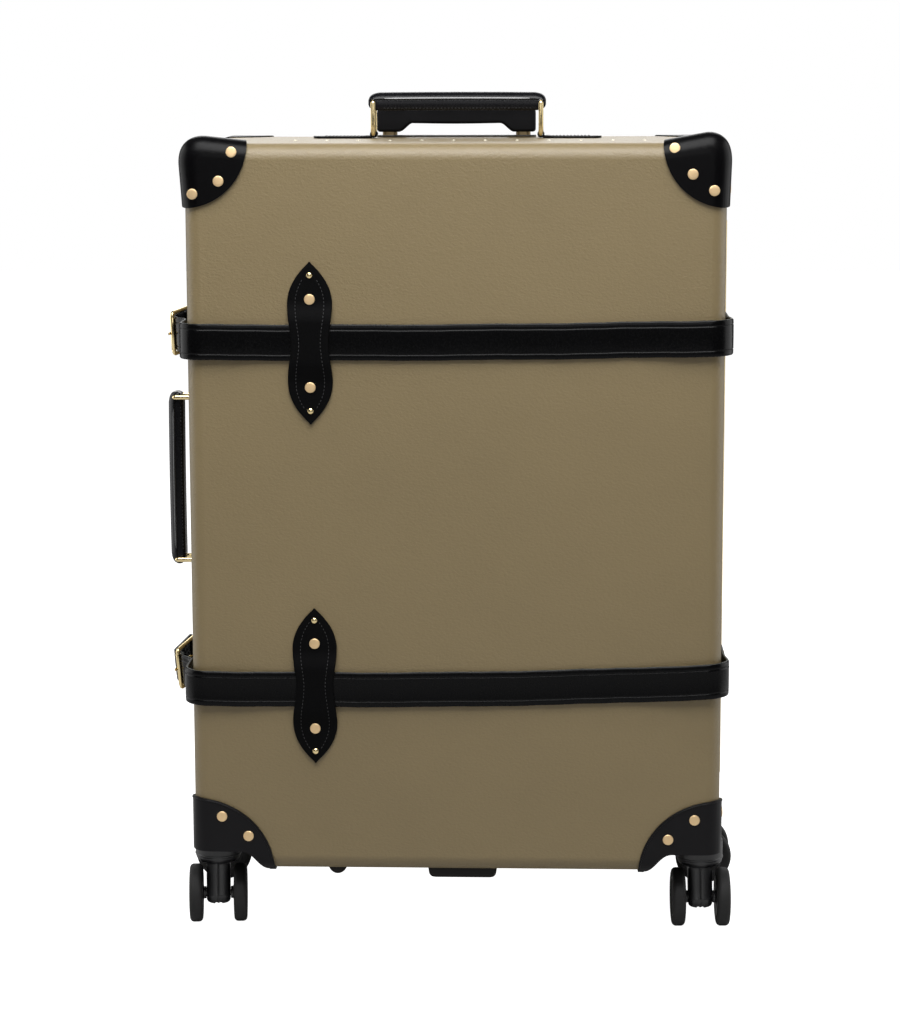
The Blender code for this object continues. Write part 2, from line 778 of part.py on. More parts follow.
def build_rear_strap(strap):
    """The run of a strap round the base, ending in the eye that holds the buckle."""
    side = side_line(STRAP_SIDE_OFF)
    back = side_line(STRAP_PRESS_OFF)
    turn_x = RIGHT_X + side - STRAP_BEND
    turn_y = BACK_Y + back - STRAP_BEND
    path = [(RIGHT_X + side, JOINT_Y + STRAP_HINGE_GAP)]
    path += arc_points((turn_x, turn_y), STRAP_BEND, 0, 90)
    path += arc_points((-turn_x, turn_y), STRAP_BEND, 90, 180)
    for i in range(5):
        t = i / 4
        x = LEFT_X - side + (HEEL_X - LEFT_X + side) * ease(t)
        path.append((x, HEEL_Y + EYE_BLEND_L * (1 - t)))
    path = path[::-1]
    leans = [heel_lean(strap, heel_share(x, y)) for x, y in path]
    rear = ribbon([(x, y, rear_height(strap, x, y)) for x, y in path], leans=leans)
    low, high = STRAP_Z[strap] - STRAP_W / 2, STRAP_Z[strap] + STRAP_W / 2
    heel = (HEEL_X, HEEL_Y, 0)
    bore = BUCKLE_WIRE + WIRE_CLEAR
    tilt = heel_tilt(strap)
    join(rear, moved(rod("Z", heel, bore + EYE_T, low, high, ROUND_SIDES), tilt))
    cut(rear, moved(rod("Z", heel, bore, low - REACH, high + REACH, BORE_SIDES), tilt))
    slot = PRONG_W / 2 + PRONG_HOLE
    reach = bore + EYE_T + PRONG_HOLE
    z = STRAP_Z[strap]
    slot_low = (HEEL_X - reach, HEEL_Y - reach, z - slot)
    return cut(rear, moved(box(slot_low, (HEEL_X + reach, HEEL_Y + reach, z + slot)), tilt))


def loop_half_width(share):
    """Half the loop's width at a share of its half length from the middle."""
    if share < LOOP_SHOULDER:
        return LOOP_WAIST + (LOOP_HALF_W - LOOP_WAIST) * ease(share / LOOP_SHOULDER)
    past = (share - LOOP_SHOULDER) / (1 - LOOP_SHOULDER)
    return max(LOOP_HALF_W * (1 - past ** LOOP_TAPER), LOOP_T / 4)


def build_strap_loop(strap):
    """A leaf-shaped leather loop, flat at both ends and arched over the strap."""
    half = LOOP_L[strap] / 2
    arch = STRAP_PRESS_OFF + STRAP_T + FIT
    strap_z = front_height(strap, LOOP_X[strap])
    flat_from = STRAP_W / 2 + LOOP_ROOM
    ramp_end = flat_from + LOOP_RAMP
    places = [strap_z]
    for side in (-1, 1):
        places += [strap_z + side * flat_from / 2]
        places += [strap_z + side * (flat_from + LOOP_RAMP * i / 4) for i in range(5)]
        places += [LOOP_Z[strap] + side * (half - (half - ramp_end) * i / 7) for i in range(6)]
    loops = []
    for z in sorted(places):
        w = loop_half_width(abs(z - LOOP_Z[strap]) / half)
        past = (abs(z - strap_z) - flat_from) / LOOP_RAMP
        near = FRONT_Y - FIT - (arch - FIT) * (1 - ease(past))
        far = near - LOOP_T
        left, right = LOOP_X[strap] - w, LOOP_X[strap] + w
        loops.append([(left, near, z), (left, far, z), (right, far, z), (right, near, z)])
    return loft(loops)


def build_buckle(strap):
    """A round-wire buckle frame with its heel bar in the rear strap's eye."""
    along = rail_way()
    out = along.cross(UPRIGHT)
    middle = Vector((HEEL_X, HEEL_Y, STRAP_Z[strap])) + along * BUCKLE_L / 2
    place = lambda u, v, w: middle + along * u + UPRIGHT * v + out * w
    wire = wire_loop(BUCKLE_L / 2, BUCKLE_H / 2, BUCKLE_CORNER, BUCKLE_WIRE, place)
    return moved(wire, heel_tilt(strap))


def prong_bar(strap, grow):
    """The prong's straight bar, from over the heel bar to past the front bar."""
    along = rail_way()
    out = UPRIGHT.cross(along)
    if out.x > 0:
        out = -out
    lift = BUCKLE_WIRE + WIRE_CLEAR + PRONG_T / 2
    middle = Vector((HEEL_X, HEEL_Y, STRAP_Z[strap])) + out * lift
    half_w = UPRIGHT * (PRONG_W / 2 + grow)
    half_t = out * (PRONG_T / 2 + grow)
    loops = []
    for u in (0.0, BUCKLE_L + PRONG_PAST + grow):
        near, far = middle + along * u - half_t, middle + along * u + half_t
        loops.append([near - half_w, far - half_w, far + half_w, near + half_w])
    return loft(loops)


def build_prong(strap):
    """The prong: an eye round the heel bar and a bar that rests on the front bar."""
    heel = (HEEL_X, HEEL_Y, 0)
    z = STRAP_Z[strap]
    bore = BUCKLE_WIRE + WIRE_CLEAR
    low, high = z - PRONG_W / 2, z + PRONG_W / 2
    prong = rod("Z", heel, bore + PRONG_EYE_T, low, high, BORE_SIDES)
    join(prong, prong_bar(strap, 0.0))
    cut(prong, rod("Z", heel, bore, low - REACH, high + REACH, BORE_SIDES))
    return moved(prong, heel_tilt(strap))


def build_ring(side):
    """A brass handle ring in the handle's own frame: length along x, wall at z = 0."""
    x = side * RING_PITCH / 2
    middle = RING_FOOT + RING_H / 2
    place = lambda u, v, w: (x + w, u, v + middle)
    return wire_loop(RING_W / 2, RING_H / 2, RING_CORNER, RING_WIRE, place, steps=2)


def build_grip():
    """A padded leather grip with the two holes that take the rings."""
    half = HANDLE_L / 2
    middle = RING_FOOT + RING_H
    ends = [(-half + GRIP_END * t, s) for t, s in GRIP_TAPER]
    stations = ends + [(0.0, 1.0)] + [(-x, s) for x, s in ends[::-1]]
    loops = []
    for x, s in stations:
        half_w = GRIP_W / 2 * (GRIP_END_W + (1 - GRIP_END_W) * s)
        flat = rounded(half_w, GRIP_H / 2 * s, GRIP_ROUND * s, 3)
        loops.append([(x, u, v + middle) for u, v, _ in flat])
    grip = loft(loops)
    for side in (-1, 1):
        hole = (side * RING_PITCH / 2, 0, middle)
        cut(grip, rod("Y", hole, RING_WIRE + WIRE_CLEAR, -RING_W, RING_W, BORE_SIDES))
    return grip


def build_chape(side):
    """The leather tab that holds a ring's foot, with its loop round the wire."""
    x = side * RING_PITCH / 2
    half = CHAPE_W / 2
    far = x + side * CHAPE_L
    bore = RING_WIRE + WIRE_CLEAR
    nose = CHAPE_NOSE
    outline = [(x, -half), (far - side * nose, -half)]
    for i in range(1, 6):
        a = -math.pi / 2 + math.pi * i / 6
        outline.append((far - side * nose * (1 - math.cos(a)), half * math.sin(a)))
    outline += [(far - side * nose, half), (x, half)]
    chape = prism(outline, "Z", FIT, FIT + CHAPE_T)
    foot = (x, 0, RING_FOOT)
    join(chape, rod("Y", foot, bore + CHAPE_LOOP_T, -half, half, BORE_SIDES))
    return cut(chape, rod("Y", foot, bore, -RING_W, RING_W, BORE_SIDES))


def tube_outline(grow, x):
    """The trolley tube's plan, grown outward."""
    return rounded_outline(
        TUBE_W / 2 + grow, TUBE_DEPTH / 2 + grow, TUBE_ROUND + grow, (x, TROLLEY_Y), 2
    )


def pipe(outer, inner, x, low, high):
    """An open tube of the trolley's section."""
    rings = ((outer, low), (outer, high), (inner, high), (inner, low))
    loops = [[(u, v, z) for u, v in tube_outline(grow, x)] for grow, z in rings]
    return loft(loops, closed=True)


def tube_x(side):
    """The plan place of one trolley tube."""
    return TROLLEY_X + side * TUBE_PITCH / 2


def build_sleeve(side):
    """The fixed outer sleeve of a trolley tube, from the floor of the base to its top wall."""
    low = CLEARANCE + WALL + FIT
    return pipe(SLEEVE_CLEAR + SLEEVE_WALL, SLEEVE_CLEAR, tube_x(side), low, TOP)


def build_tube(side):
    """A sliding trolley tube."""
    high = TOP + PULL_TAB + SOCKET_L - FIT
    return pipe(0.0, -TUBE_WALL, tube_x(side), high - TUBE_L, high)


def build_bezel():
    """The plate on the top wall that the trolley tubes pass through."""
    half_w = TUBE_PITCH / 2 + TUBE_W / 2 + BEZEL_MARGIN
    half_d = TUBE_DEPTH / 2 + BEZEL_MARGIN / 2
    plate = rounded_outline(half_w, half_d, BEZEL_ROUND, (TROLLEY_X, TROLLEY_Y), 3)
    bezel = prism(plate, "Z", TOP + FIT, TOP + FIT + BEZEL_T)
    for side in (-1, 1):
        cut(bezel, prism(tube_outline(SLEEVE_CLEAR, tube_x(side)), "Z", TOP - REACH, TOP + REACH))
    return bezel


def build_pull():
    """The trolley's moulded grip: two tabs with sockets, an arch between and a button pocket."""
    half = PULL_W / 2
    tab_in = half - PULL_TAB_W
    top = TOP + PULL_TOP
    low = TOP + PULL_TAB
    right = [(half, low), (half, top - PULL_ROUND)]
    for i in range(1, 5):
        a = math.pi / 2 * i / 4
        right.append((half - PULL_ROUND * (1 - math.cos(a)), top - PULL_ROUND * (1 - math.sin(a))))
    left = [(-x, z) for x, z in right[::-1]]
    arch = []
    for i in range(7):
        t = i / 6
        arch.append((-tab_in + PULL_SLOPE_W * t, low + (PULL_ARCH - PULL_TAB) * ease(t)))
    outline = right + left + arch + [(-x, z) for x, z in arch[::-1]]
    placed = [(x + TROLLEY_X, z) for x, z in outline]
    pull = prism(placed, "Y", TROLLEY_Y - PULL_DEPTH / 2, TROLLEY_Y + PULL_DEPTH / 2)
    for side in (-1, 1):
        cut(pull, prism(tube_outline(FIT, tube_x(side)), "Z", low - REACH, low + SOCKET_L))
    pocket = rounded_outline(
        BUTTON_W / 2 + BUTTON_CLEAR, BUTTON_DEPTH / 2 + BUTTON_CLEAR,
        BUTTON_DEPTH / 2 + BUTTON_CLEAR, (TROLLEY_X, TROLLEY_Y), 4,
    )
    floor = top + BUTTON_PROUD - BUTTON_H - BUTTON_ROOM
    return cut(pull, prism(pocket, "Z", floor, top + REACH))


def build_pull_button():
    """The release button in the top of the trolley's grip."""
    outline = rounded_outline(
        BUTTON_W / 2, BUTTON_DEPTH / 2, BUTTON_DEPTH / 2, (TROLLEY_X, TROLLEY_Y), 4
    )
    high = TOP + PULL_TOP + BUTTON_PROUD
    return prism(outline, "Z", high - BUTTON_H, high)


def slide_y():
    """The depth at which the lock's slide runs."""
    return JOINT_Y + LOCK_SETBACK + SLIDE_BACK


def build_lock_case(lock):
    """A brass lock body on the base with a slot for the tongue and a track for the slide."""
    z = LOCK_Z[lock]
    near = JOINT_Y + LOCK_SETBACK
    outer = LEFT_X - FIT - LOCK_T
    low = (outer, near, z - LOCK_H / 2)
    body = soften(box(low, (LEFT_X - FIT, near + LOCK_L, z + LOCK_H / 2)), LOCK_EDGE)
    gap = TONGUE_CLEAR
    slot_low = (LEFT_X - TONGUE_OFF - TONGUE_T - gap, near - REACH, z - TONGUE_H / 2 - gap)
    slot_high = (LEFT_X - TONGUE_OFF + gap, JOINT_Y + TONGUE_L + gap, z + TONGUE_H / 2 + gap)
    cut(body, box(slot_low, slot_high))
    half = SLIDE_H / 2 + SLIDE_TRAVEL / 2 + SLIDE_CLEAR
    track_y = SLIDE_W / 2 + SLIDE_CLEAR
    track_low = (outer - REACH, slide_y() - track_y, z - half)
    sink = outer + SLIDE_SINK + SLIDE_CLEAR
    return cut(body, box(track_low, (sink, slide_y() + track_y, z + half)))


def build_lock_slide(lock):
    """The ribbed thumb slide that frees the tongue, at the top of its track."""
    z = LOCK_Z[lock] + SLIDE_TRAVEL / 2
    outer = LEFT_X - FIT - LOCK_T + SLIDE_SINK
    half_h, half_w = SLIDE_H / 2, SLIDE_W / 2
    rib = SLIDE_H / 6
    outline = [(outer, z - half_h), (outer - SLIDE_T, z - half_h)]
    for i in range(1, 6):
        depth = SLIDE_T if i % 2 == 0 else SLIDE_T - rib / 2
        outline.append((outer - depth, z - half_h + rib * i))
    outline += [(outer - SLIDE_T, z + half_h), (outer, z + half_h)]
    return prism(outline, "Y", slide_y() - half_w, slide_y() + half_w)


def build_lock_catch(lock):
    """The plate on the lid and the tongue that reaches into the lock."""
    z = LOCK_Z[lock]
    near = LEFT_X - FIT
    edge = JOINT_Y - LOCK_SETBACK
    low = (near - CATCH_T, edge - CATCH_L, z - CATCH_H / 2)
    plate = soften(box(low, (near, edge, z + CATCH_H / 2)), CATCH_T / 3)
    far = LEFT_X - TONGUE_OFF - TONGUE_T
    outline = [(near - CATCH_T / 2, edge - CATCH_ROOT), (far, edge - CATCH_ROOT / 2)]
    outline += [(far, JOINT_Y + TONGUE_L), (far + TONGUE_T, JOINT_Y + TONGUE_L)]
    outline += [(far + TONGUE_T, edge - FIT), (near - CATCH_T / 2, edge - FIT)]
    return join(plate, prism(outline, "Z", z - TONGUE_H / 2, z + TONGUE_H / 2))


def knuckle_span(i):
    """Bottom and top of one hinge knuckle."""
    pitch = HINGE_L / HINGE_KNUCKLES
    low = CLEARANCE + BODY_H / 2 - HINGE_L / 2 + pitch * i
    return low + KNUCKLE_GAP / 2, low + pitch - KNUCKLE_GAP / 2


def build_hinge_leaf(side):
    """A hinge leaf with every second knuckle: side -1 on the lid, +1 on the base."""
    low = knuckle_span(0)[0]
    high = knuckle_span(HINGE_KNUCKLES - 1)[1]
    inner = RIGHT_X + FIT
    start = JOINT_Y + side * (KNUCKLE_R + KNUCKLE_GAP)
    stop = JOINT_Y + side * HINGE_LEAF_W
    lows = (inner, min(start, stop), low)
    leaf = box(lows, (inner + HINGE_LEAF_T, max(start, stop), high))
    web = start + side * KNUCKLE_GAP
    for i in range(0 if side > 0 else 1, HINGE_KNUCKLES, 2):
        z0, z1 = knuckle_span(i)
        web_low = (inner, min(JOINT_Y, web), z0)
        join(leaf, box(web_low, (inner + HINGE_LEAF_T, max(JOINT_Y, web), z1)))
        join(leaf, rod("Z", (HINGE_X, JOINT_Y, 0), KNUCKLE_R, z0, z1, BORE_SIDES))
    bore = rod("Z", (HINGE_X, JOINT_Y, 0), PIN_R + PIN_CLEAR, low - REACH, high + REACH, WIRE_SIDES)
    return cut(leaf, bore)


def build_hinge_pin():
    """The hinge's long pin."""
    low, high = knuckle_span(0)[0], knuckle_span(HINGE_KNUCKLES - 1)[1]
    return rod("Z", (HINGE_X, JOINT_Y, 0), PIN_R, low, high, WIRE_SIDES)


def build_rest_block():
    """The wide rubber rest under the front edge, narrower at its foot."""
    y = FRONT_Y + REST_INSET_Y
    high = CLEARANCE - FIT
    loops = []
    low = high - REST_H
    for z, shrink in ((high, 0.0), (low + REST_EDGE, REST_EDGE / 3), (low, REST_EDGE)):
        flat = rounded_outline(REST_W / 2 - shrink, REST_L / 2 - shrink, REST_EDGE, (REST_X, y), 2)
        loops.append([(u, v, z) for u, v in flat])
    return loft(loops)


def build_round_foot():
    """The half-round rubber foot beside the rest."""
    high = CLEARANCE - FIT
    profile = [(0, high)]
    for i in range(5):
        a = math.pi / 2 * i / 5
        profile.append((FOOT_R * math.cos(a), high - FOOT_H * math.sin(a)))
    profile.append((0, high - FOOT_H))
    return lathe(profile, "Z", (FOOT_X, FRONT_Y + REST_INSET_Y, 0), 16)


def build_base_top_holes(shell):
    """Cut the two sleeve holes in the base's top wall."""
    for side in (-1, 1):
        grow = SLEEVE_CLEAR + SLEEVE_WALL + FIT
        cut(shell, prism(tube_outline(grow, tube_x(side)), "Z", TOP - REACH, TOP + REACH))
    return shell


def place_handle(prefix, frame_name, matrix):
    """A handle with its two rings and tabs; the grip swings on the rings as a parallelogram."""
    frame = make_empty(frame_name, (0, 0, 0), case_origin)
    frame.matrix_local = matrix
    bpy.context.view_layer.update()
    rings = {}
    for side, end in ((-1, "a"), (1, "b")):
        foot = matrix @ Vector((side * RING_PITCH / 2, 0, RING_FOOT))
        rings[end] = joint_empty(f"{prefix}_ring_{end}_axis", foot)
        name_piece(moved(build_ring(side), matrix), f"{prefix}_ring_{end}", brass, rings[end])
        name_piece(moved(build_chape(side), matrix), f"{prefix}_chape_{end}", leather, frame)
    bar = matrix @ Vector((-RING_PITCH / 2, 0, RING_FOOT + RING_H))
    grip_axis = joint_empty(f"{prefix}_grip_axis", bar, rings["a"])
    name_piece(moved(build_grip(), matrix), f"{prefix}_grip", leather, grip_axis)


for leftover in list(bpy.data.objects):
    bpy.data.objects.remove(leftover)

fibreboard = make_material("fibreboard", (0.205, 0.162, 0.080), 0.55)
ash = make_material("ash", (0.56, 0.42, 0.25), 0.6)
leather = make_material("black_leather", (0.012, 0.012, 0.013), 0.42)
plastic = make_material("black_plastic", (0.013, 0.013, 0.014), 0.45)
tyre = make_material("tyre", (0.020, 0.020, 0.021), 0.7)
brass = make_material("brass", (0.80, 0.60, 0.28), 0.22, 1.0)
bronze = make_material("bronze_tube", (0.26, 0.20, 0.12), 0.35, 1.0)
rubber = make_material("rubber", (0.018, 0.017, 0.016), 0.8)

case_origin = make_empty("case_origin", CASE_SHIFT)
bpy.context.view_layer.update()
lid_hinge = joint_empty("lid_hinge_axis", (HINGE_X, JOINT_Y, CLEARANCE + BODY_H / 2))

# The two shells and their ash frames
name_piece(build_shell(-1), "lid_shell", fibreboard, lid_hinge)
name_piece(build_base_top_holes(build_shell(1)), "base_shell", fibreboard, case_origin)
name_piece(build_frame(-1), "lid_frame", ash, lid_hinge)
name_piece(build_frame(1), "base_frame", ash, case_origin)

# Corner caps, caster housings and casters, one set for each corner
housing = build_housing()
for row, y_sign, carrier in (("front", -1, lid_hinge), ("rear", 1, case_origin)):
    cap = build_corner_cap(row)
    for hand, x_sign in (("left", -1), ("right", 1)):
        corner = f"{row}_{hand}"
        flips = {"x": x_sign > 0, "y": y_sign > 0}
        name_piece(mirrored(cap, **flips), f"corner_cap_{corner}", leather, carrier)
        name_piece(mirrored(housing, **flips), f"caster_housing_{corner}", plastic, carrier)
        swivel = Vector((x_sign * CASTER_X, y_sign * CASTER_Y, 0))
        fork_axis = joint_empty(f"swivel_{corner}_axis", swivel + Vector((0, 0, RECESS_Z)), carrier)
        turn = Matrix.Rotation(math.radians(CASTER_TURN[corner]), 4, "Z")
        fork = moved(build_fork(), Matrix.Translation(swivel) @ turn)
        name_piece(fork, f"caster_fork_{corner}", plastic, fork_axis)
        axle = swivel + turn @ Vector((0, -TRAIL, WHEEL_R))
        axle_axis = joint_empty(f"axle_{corner}_axis", axle, fork_axis)
        wheels = moved(build_wheel_set(), Matrix.Translation(axle) @ turn)
        name_piece(wheels, f"wheel_set_{corner}", tyre, axle_axis)
    bpy.data.objects.remove(cap)
bpy.data.objects.remove(housing)

# Straps, loops and buckles
for strap, level in enumerate(("upper", "lower")):
    name_piece(build_front_strap(strap), f"strap_front_{level}", leather, lid_hinge)
    name_piece(build_strap_tip(strap), f"strap_tip_{level}", leather, lid_hinge)
    name_piece(build_rear_strap(strap), f"strap_rear_{level}", leather, case_origin)
    name_piece(build_strap_loop(strap), f"strap_loop_{level}", leather, lid_hinge)
    heel_axis = joint_empty(f"buckle_{level}_axis", (HEEL_X, HEEL_Y, STRAP_Z[strap]))
    name_piece(build_buckle(strap), f"buckle_{level}", brass, heel_axis)
    prong_axis = joint_empty(f"prong_{level}_axis", (HEEL_X, HEEL_Y, STRAP_Z[strap]), heel_axis)
    name_piece(build_prong(strap), f"buckle_prong_{level}", brass, prong_axis)

# Leather handles on the top and on the opening side
top_frame = Matrix.Translation((TOP_HANDLE_X, BASE_MID_Y, TOP))
place_handle("top_handle", "top_handle_seat", top_frame)
side_turn = Matrix.Rotation(math.radians(-90), 4, "Y")
side_frame = Matrix.Translation((LEFT_X, BASE_MID_Y, SIDE_HANDLE_Z)) @ side_turn
place_handle("side_handle", "side_handle_seat", side_frame)

# Trolley
trolley_axis = joint_empty("trolley_slide_axis", (TROLLEY_X, TROLLEY_Y, TOP))
name_piece(build_bezel(), "trolley_bezel", plastic, case_origin)
for side, hand in ((-1, "left"), (1, "right")):
    name_piece(build_sleeve(side), f"trolley_sleeve_{hand}", bronze, case_origin)
    name_piece(build_tube(side), f"trolley_tube_{hand}", bronze, trolley_axis)
name_piece(build_pull(), "trolley_pull", plastic, trolley_axis)
button_axis = joint_empty("trolley_button_axis", (TROLLEY_X, TROLLEY_Y, TOP + PULL_TOP), trolley_axis)
name_piece(build_pull_button(), "trolley_button", plastic, button_axis)

# Locks
for lock, level in enumerate(("upper", "lower")):
    name_piece(build_lock_case(lock), f"lock_case_{level}", brass, case_origin)
    name_piece(build_lock_catch(lock), f"lock_catch_{level}", brass, lid_hinge)
    slide_axis = joint_empty(f"lock_slide_{level}_axis", (LEFT_X, slide_y(), LOCK_Z[lock]))
    name_piece(build_lock_slide(lock), f"lock_slide_{level}", brass, slide_axis)

# Hinge and rubber rests
name_piece(build_hinge_leaf(1), "hinge_leaf_base", brass, case_origin)
name_piece(build_hinge_leaf(-1), "hinge_leaf_lid", brass, lid_hinge)
name_piece(build_hinge_pin(), "hinge_pin", brass, case_origin)
name_piece(build_rest_block(), "bottom_rest", rubber, lid_hinge)
name_piece(build_round_foot(), "bottom_foot", rubber, lid_hinge)
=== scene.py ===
import math

import bmesh
import bpy
from mathutils import Matrix, Vector


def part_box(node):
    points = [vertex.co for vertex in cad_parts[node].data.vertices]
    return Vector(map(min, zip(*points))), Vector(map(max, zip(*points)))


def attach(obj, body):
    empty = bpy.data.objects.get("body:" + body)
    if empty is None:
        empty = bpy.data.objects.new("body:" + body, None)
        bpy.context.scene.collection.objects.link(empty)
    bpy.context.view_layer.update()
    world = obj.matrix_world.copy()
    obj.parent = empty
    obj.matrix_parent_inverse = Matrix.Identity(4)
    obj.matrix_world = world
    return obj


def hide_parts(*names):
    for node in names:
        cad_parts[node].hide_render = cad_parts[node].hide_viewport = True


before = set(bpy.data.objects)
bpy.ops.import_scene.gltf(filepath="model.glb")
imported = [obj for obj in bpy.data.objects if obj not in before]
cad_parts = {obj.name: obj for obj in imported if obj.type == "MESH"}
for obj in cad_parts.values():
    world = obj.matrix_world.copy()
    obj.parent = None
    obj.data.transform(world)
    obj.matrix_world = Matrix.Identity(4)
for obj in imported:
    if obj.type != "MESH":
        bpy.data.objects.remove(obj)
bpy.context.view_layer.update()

# Sizes of the case, in metres, in its own frame: x = 0 mid width, y = 0 mid depth, z = 0 floor
BODY_W, BODY_H, BODY_D = 0.520, 0.716, 0.280
LID_D, CLEARANCE, WALL = 0.100, 0.067, 0.0035
BEND_R, CORNER_R = 0.016, 0.022
RIM_GAP, FIT = 0.0006, 0.0003
FRAME_T, FRAME_W = 0.010, 0.012
CAP_R, CAP_T = 0.0615, {-1: 0.0028, 1: 0.0010}
CAP_SWELL = {"front_left": (0.0034, 0.0052), "front_right": (0.0018, 0.0086)}
HOUSING_W, HOUSING_H, HOUSING_D, HOUSING_T = 0.080, 0.074, 0.0905, 0.0026
RECESS_H, RECESS_FLAT_W, RECESS_W, RECESS_D, RECESS_SKEW = 0.0195, 0.046, 0.074, 0.0836, 1.25
CUP_FLOOR, CUP_WALL = 0.004, 0.0018
CASTER_INSET_X, CASTER_INSET_Y, TRAIL = 0.0165, 0.060, 0.011
CASTER_TURN = {"front_left": 5.0, "front_right": 2.0, "rear_left": -90.0, "rear_right": 90.0}
WHEEL_R, WHEEL_W, WHEEL_SPAN = 0.0293, 0.0130, 0.0576
FORK_W, BOSS_R, NECK_R = 0.0240, 0.0115, 0.0132
KING_PIN_R, KING_PIN_L, AXLE_R, AXLE_BORE_R = 0.0042, 0.003, 0.0027, 0.0031
NOTCH_W, NOTCH_H, NOTCH_X = 0.0030, 0.0030, 0.0021
COLLAR_R, COLLAR_RIM, COLLAR_BOWL = 0.0230, 0.0190, 0.0077
STRAP_W, STRAP_T = 0.035, 0.0035
STRAP_Z, STRAP_SAG, SAG_CENTRE_X = (0.598, 0.2625), (0.005, 0.011), -0.120
STRAP_BEND, STRAP_SIDE_OFF, STRAP_EDGE_OFF = 0.022, 0.0045, 0.0040
STRAP_PRESS_OFF, STRAP_PRESSED_TO, STRAP_HINGE_GAP, STRAP_HUG = 0.0008, 0.165, 0.012, 0.0020
STRAP_FRONT_END, TIP_FLARE, TIP_POINT, TIP_END = 0.044, (0.0010, 0.0042), 0.012, 0.150
TIP_CROSS_L, TIP_EASE_L, TIP_SLACK, TIP_RETURN, TIP_PINCH = 0.012, 0.018, 0.25, (0.0044, 0.0081), 0.0022
LOOP_X, LOOP_Z, LOOP_L = (-0.1395, -0.1380), (0.5921, 0.2550), (0.1567, 0.1545)
LOOP_HALF_W, LOOP_WAIST, LOOP_SHOULDER, LOOP_TAPER, LOOP_T = 0.0217, 0.0182, 0.47, 2.15, 0.0026
LOOP_RAMP, LOOP_ROOM = 0.022, 0.0012
BUCKLE_L, BUCKLE_H, BUCKLE_WIRE, BUCKLE_CORNER = 0.040, 0.0407, 0.0021, 0.0034
HEEL_OFF, FRONT_BAR_OFF, HEEL_BEHIND_JOINT, EYE_BLEND_L = 0.0090, 0.0215, 0.008, 0.045
HANDLE_L, RING_PITCH, RING_H, RING_W = 0.180, 0.170, 0.0332, 0.0270
RING_WIRE, RING_CORNER, RING_FOOT = 0.00175, 0.0024, 0.0042
GRIP_W, CHAPE_W, CHAPE_LOOP_T = 0.0215, 0.0205, 0.00155
TOP_HANDLE_X, SIDE_HANDLE_Z = -0.004, 0.4335
TROLLEY_X, TROLLEY_Y, TUBE_PITCH = -0.007, 0.112, 0.1385
TUBE_W, TUBE_DEPTH, TUBE_WALL, TUBE_ROUND, TUBE_L = 0.015, 0.014, 0.0012, 0.004, 0.520
SLEEVE_WALL, SLEEVE_CLEAR, BEZEL_T, BEZEL_MARGIN = 0.0012, 0.0004, 0.0016, 0.006
PULL_W, PULL_DEPTH, PULL_TOP, PULL_TAB, PULL_ARCH = 0.1645, 0.020, 0.036, 0.0052, 0.0141
PULL_TAB_W, PULL_SLOPE_W, PULL_ROUND = 0.0225, 0.0145, 0.012
BUTTON_W, BUTTON_DEPTH, BUTTON_H, BUTTON_PROUD = 0.030, 0.009, 0.006, 0.0022
LOCK_Z, LOCK_H, LOCK_L, LOCK_T, LOCK_SETBACK = (0.668, 0.182), 0.032, 0.026, 0.0085, 0.0012
HINGE_L, HINGE_KNUCKLES, HINGE_LEAF_W, HINGE_LEAF_T = 0.560, 7, 0.015, 0.0012
KNUCKLE_R, KNUCKLE_GAP, PIN_R = 0.0026, 0.0005, 0.0012
REST_X, REST_W, REST_L, REST_H, REST_EDGE = 0.0055, 0.069, 0.022, 0.0135, 0.004
FOOT_X, FOOT_R, FOOT_H, REST_INSET_Y = -0.120, 0.0098, 0.0120, 0.035

# What follows from the sizes. REACH takes a cutting shape well past what it cuts
REACH = 0.05
TOP = CLEARANCE + BODY_H
FRONT_Y, BACK_Y = -BODY_D / 2, BODY_D / 2
JOINT_Y = FRONT_Y + LID_D
LEFT_X, RIGHT_X = -BODY_W / 2, BODY_W / 2
BASE_MID_Y = (JOINT_Y + BACK_Y) / 2
RECESS_Z = CLEARANCE + RECESS_H
CUP_TOP, CUP_W, CUP_D = RECESS_Z + CUP_FLOOR, RECESS_W + CUP_WALL, RECESS_D + CUP_WALL
CASTER_X, CASTER_Y = RIGHT_X - CASTER_INSET_X, BACK_Y - CASTER_INSET_Y
HEEL_X, HEEL_Y = LEFT_X - HEEL_OFF, JOINT_Y + HEEL_BEHIND_JOINT
BAR_X = LEFT_X - FRONT_BAR_OFF
BAR_Y = HEEL_Y - math.sqrt(BUCKLE_L ** 2 - (FRONT_BAR_OFF - HEEL_OFF) ** 2)
HINGE_X = RIGHT_X + FIT + KNUCKLE_R
STRAP_LEFT_X = LEFT_X - STRAP_SIDE_OFF - STRAP_T / 2
LEFT_SAG = 1 - ((STRAP_LEFT_X - SAG_CENTRE_X) / (RIGHT_X - SAG_CENTRE_X)) ** 2
TIP_LEVEL_Y = FRONT_Y + STRAP_FRONT_END + FIT + STRAP_T
TIP_RISE_L = BAR_Y - TIP_LEVEL_Y
BUCKLE_TILT = tuple(sag * LEFT_SAG / (BUCKLE_L + TIP_RISE_L / 2) for sag in STRAP_SAG)
UPRIGHT = Vector((0.0, 0.0, 1.0))
RAIL = Vector((BAR_X - HEEL_X, BAR_Y - HEEL_Y, 0)) / BUCKLE_L
RAIL_OUT = Vector((RAIL.y, -RAIL.x, 0))
LID_LOW, LID_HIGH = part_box("lid_shell")
SHIFT = Vector(((LID_LOW.x + LID_HIGH.x) / 2, LID_LOW.y + BODY_D / 2, 0.0))
CORNER_STEPS, BEND_STEPS = 14, 10


# Materials

def start_material(name):
    made = bpy.data.materials.new(name)
    made.use_nodes = True
    tree = made.node_tree
    return made, tree, tree.nodes["Principled BSDF"]


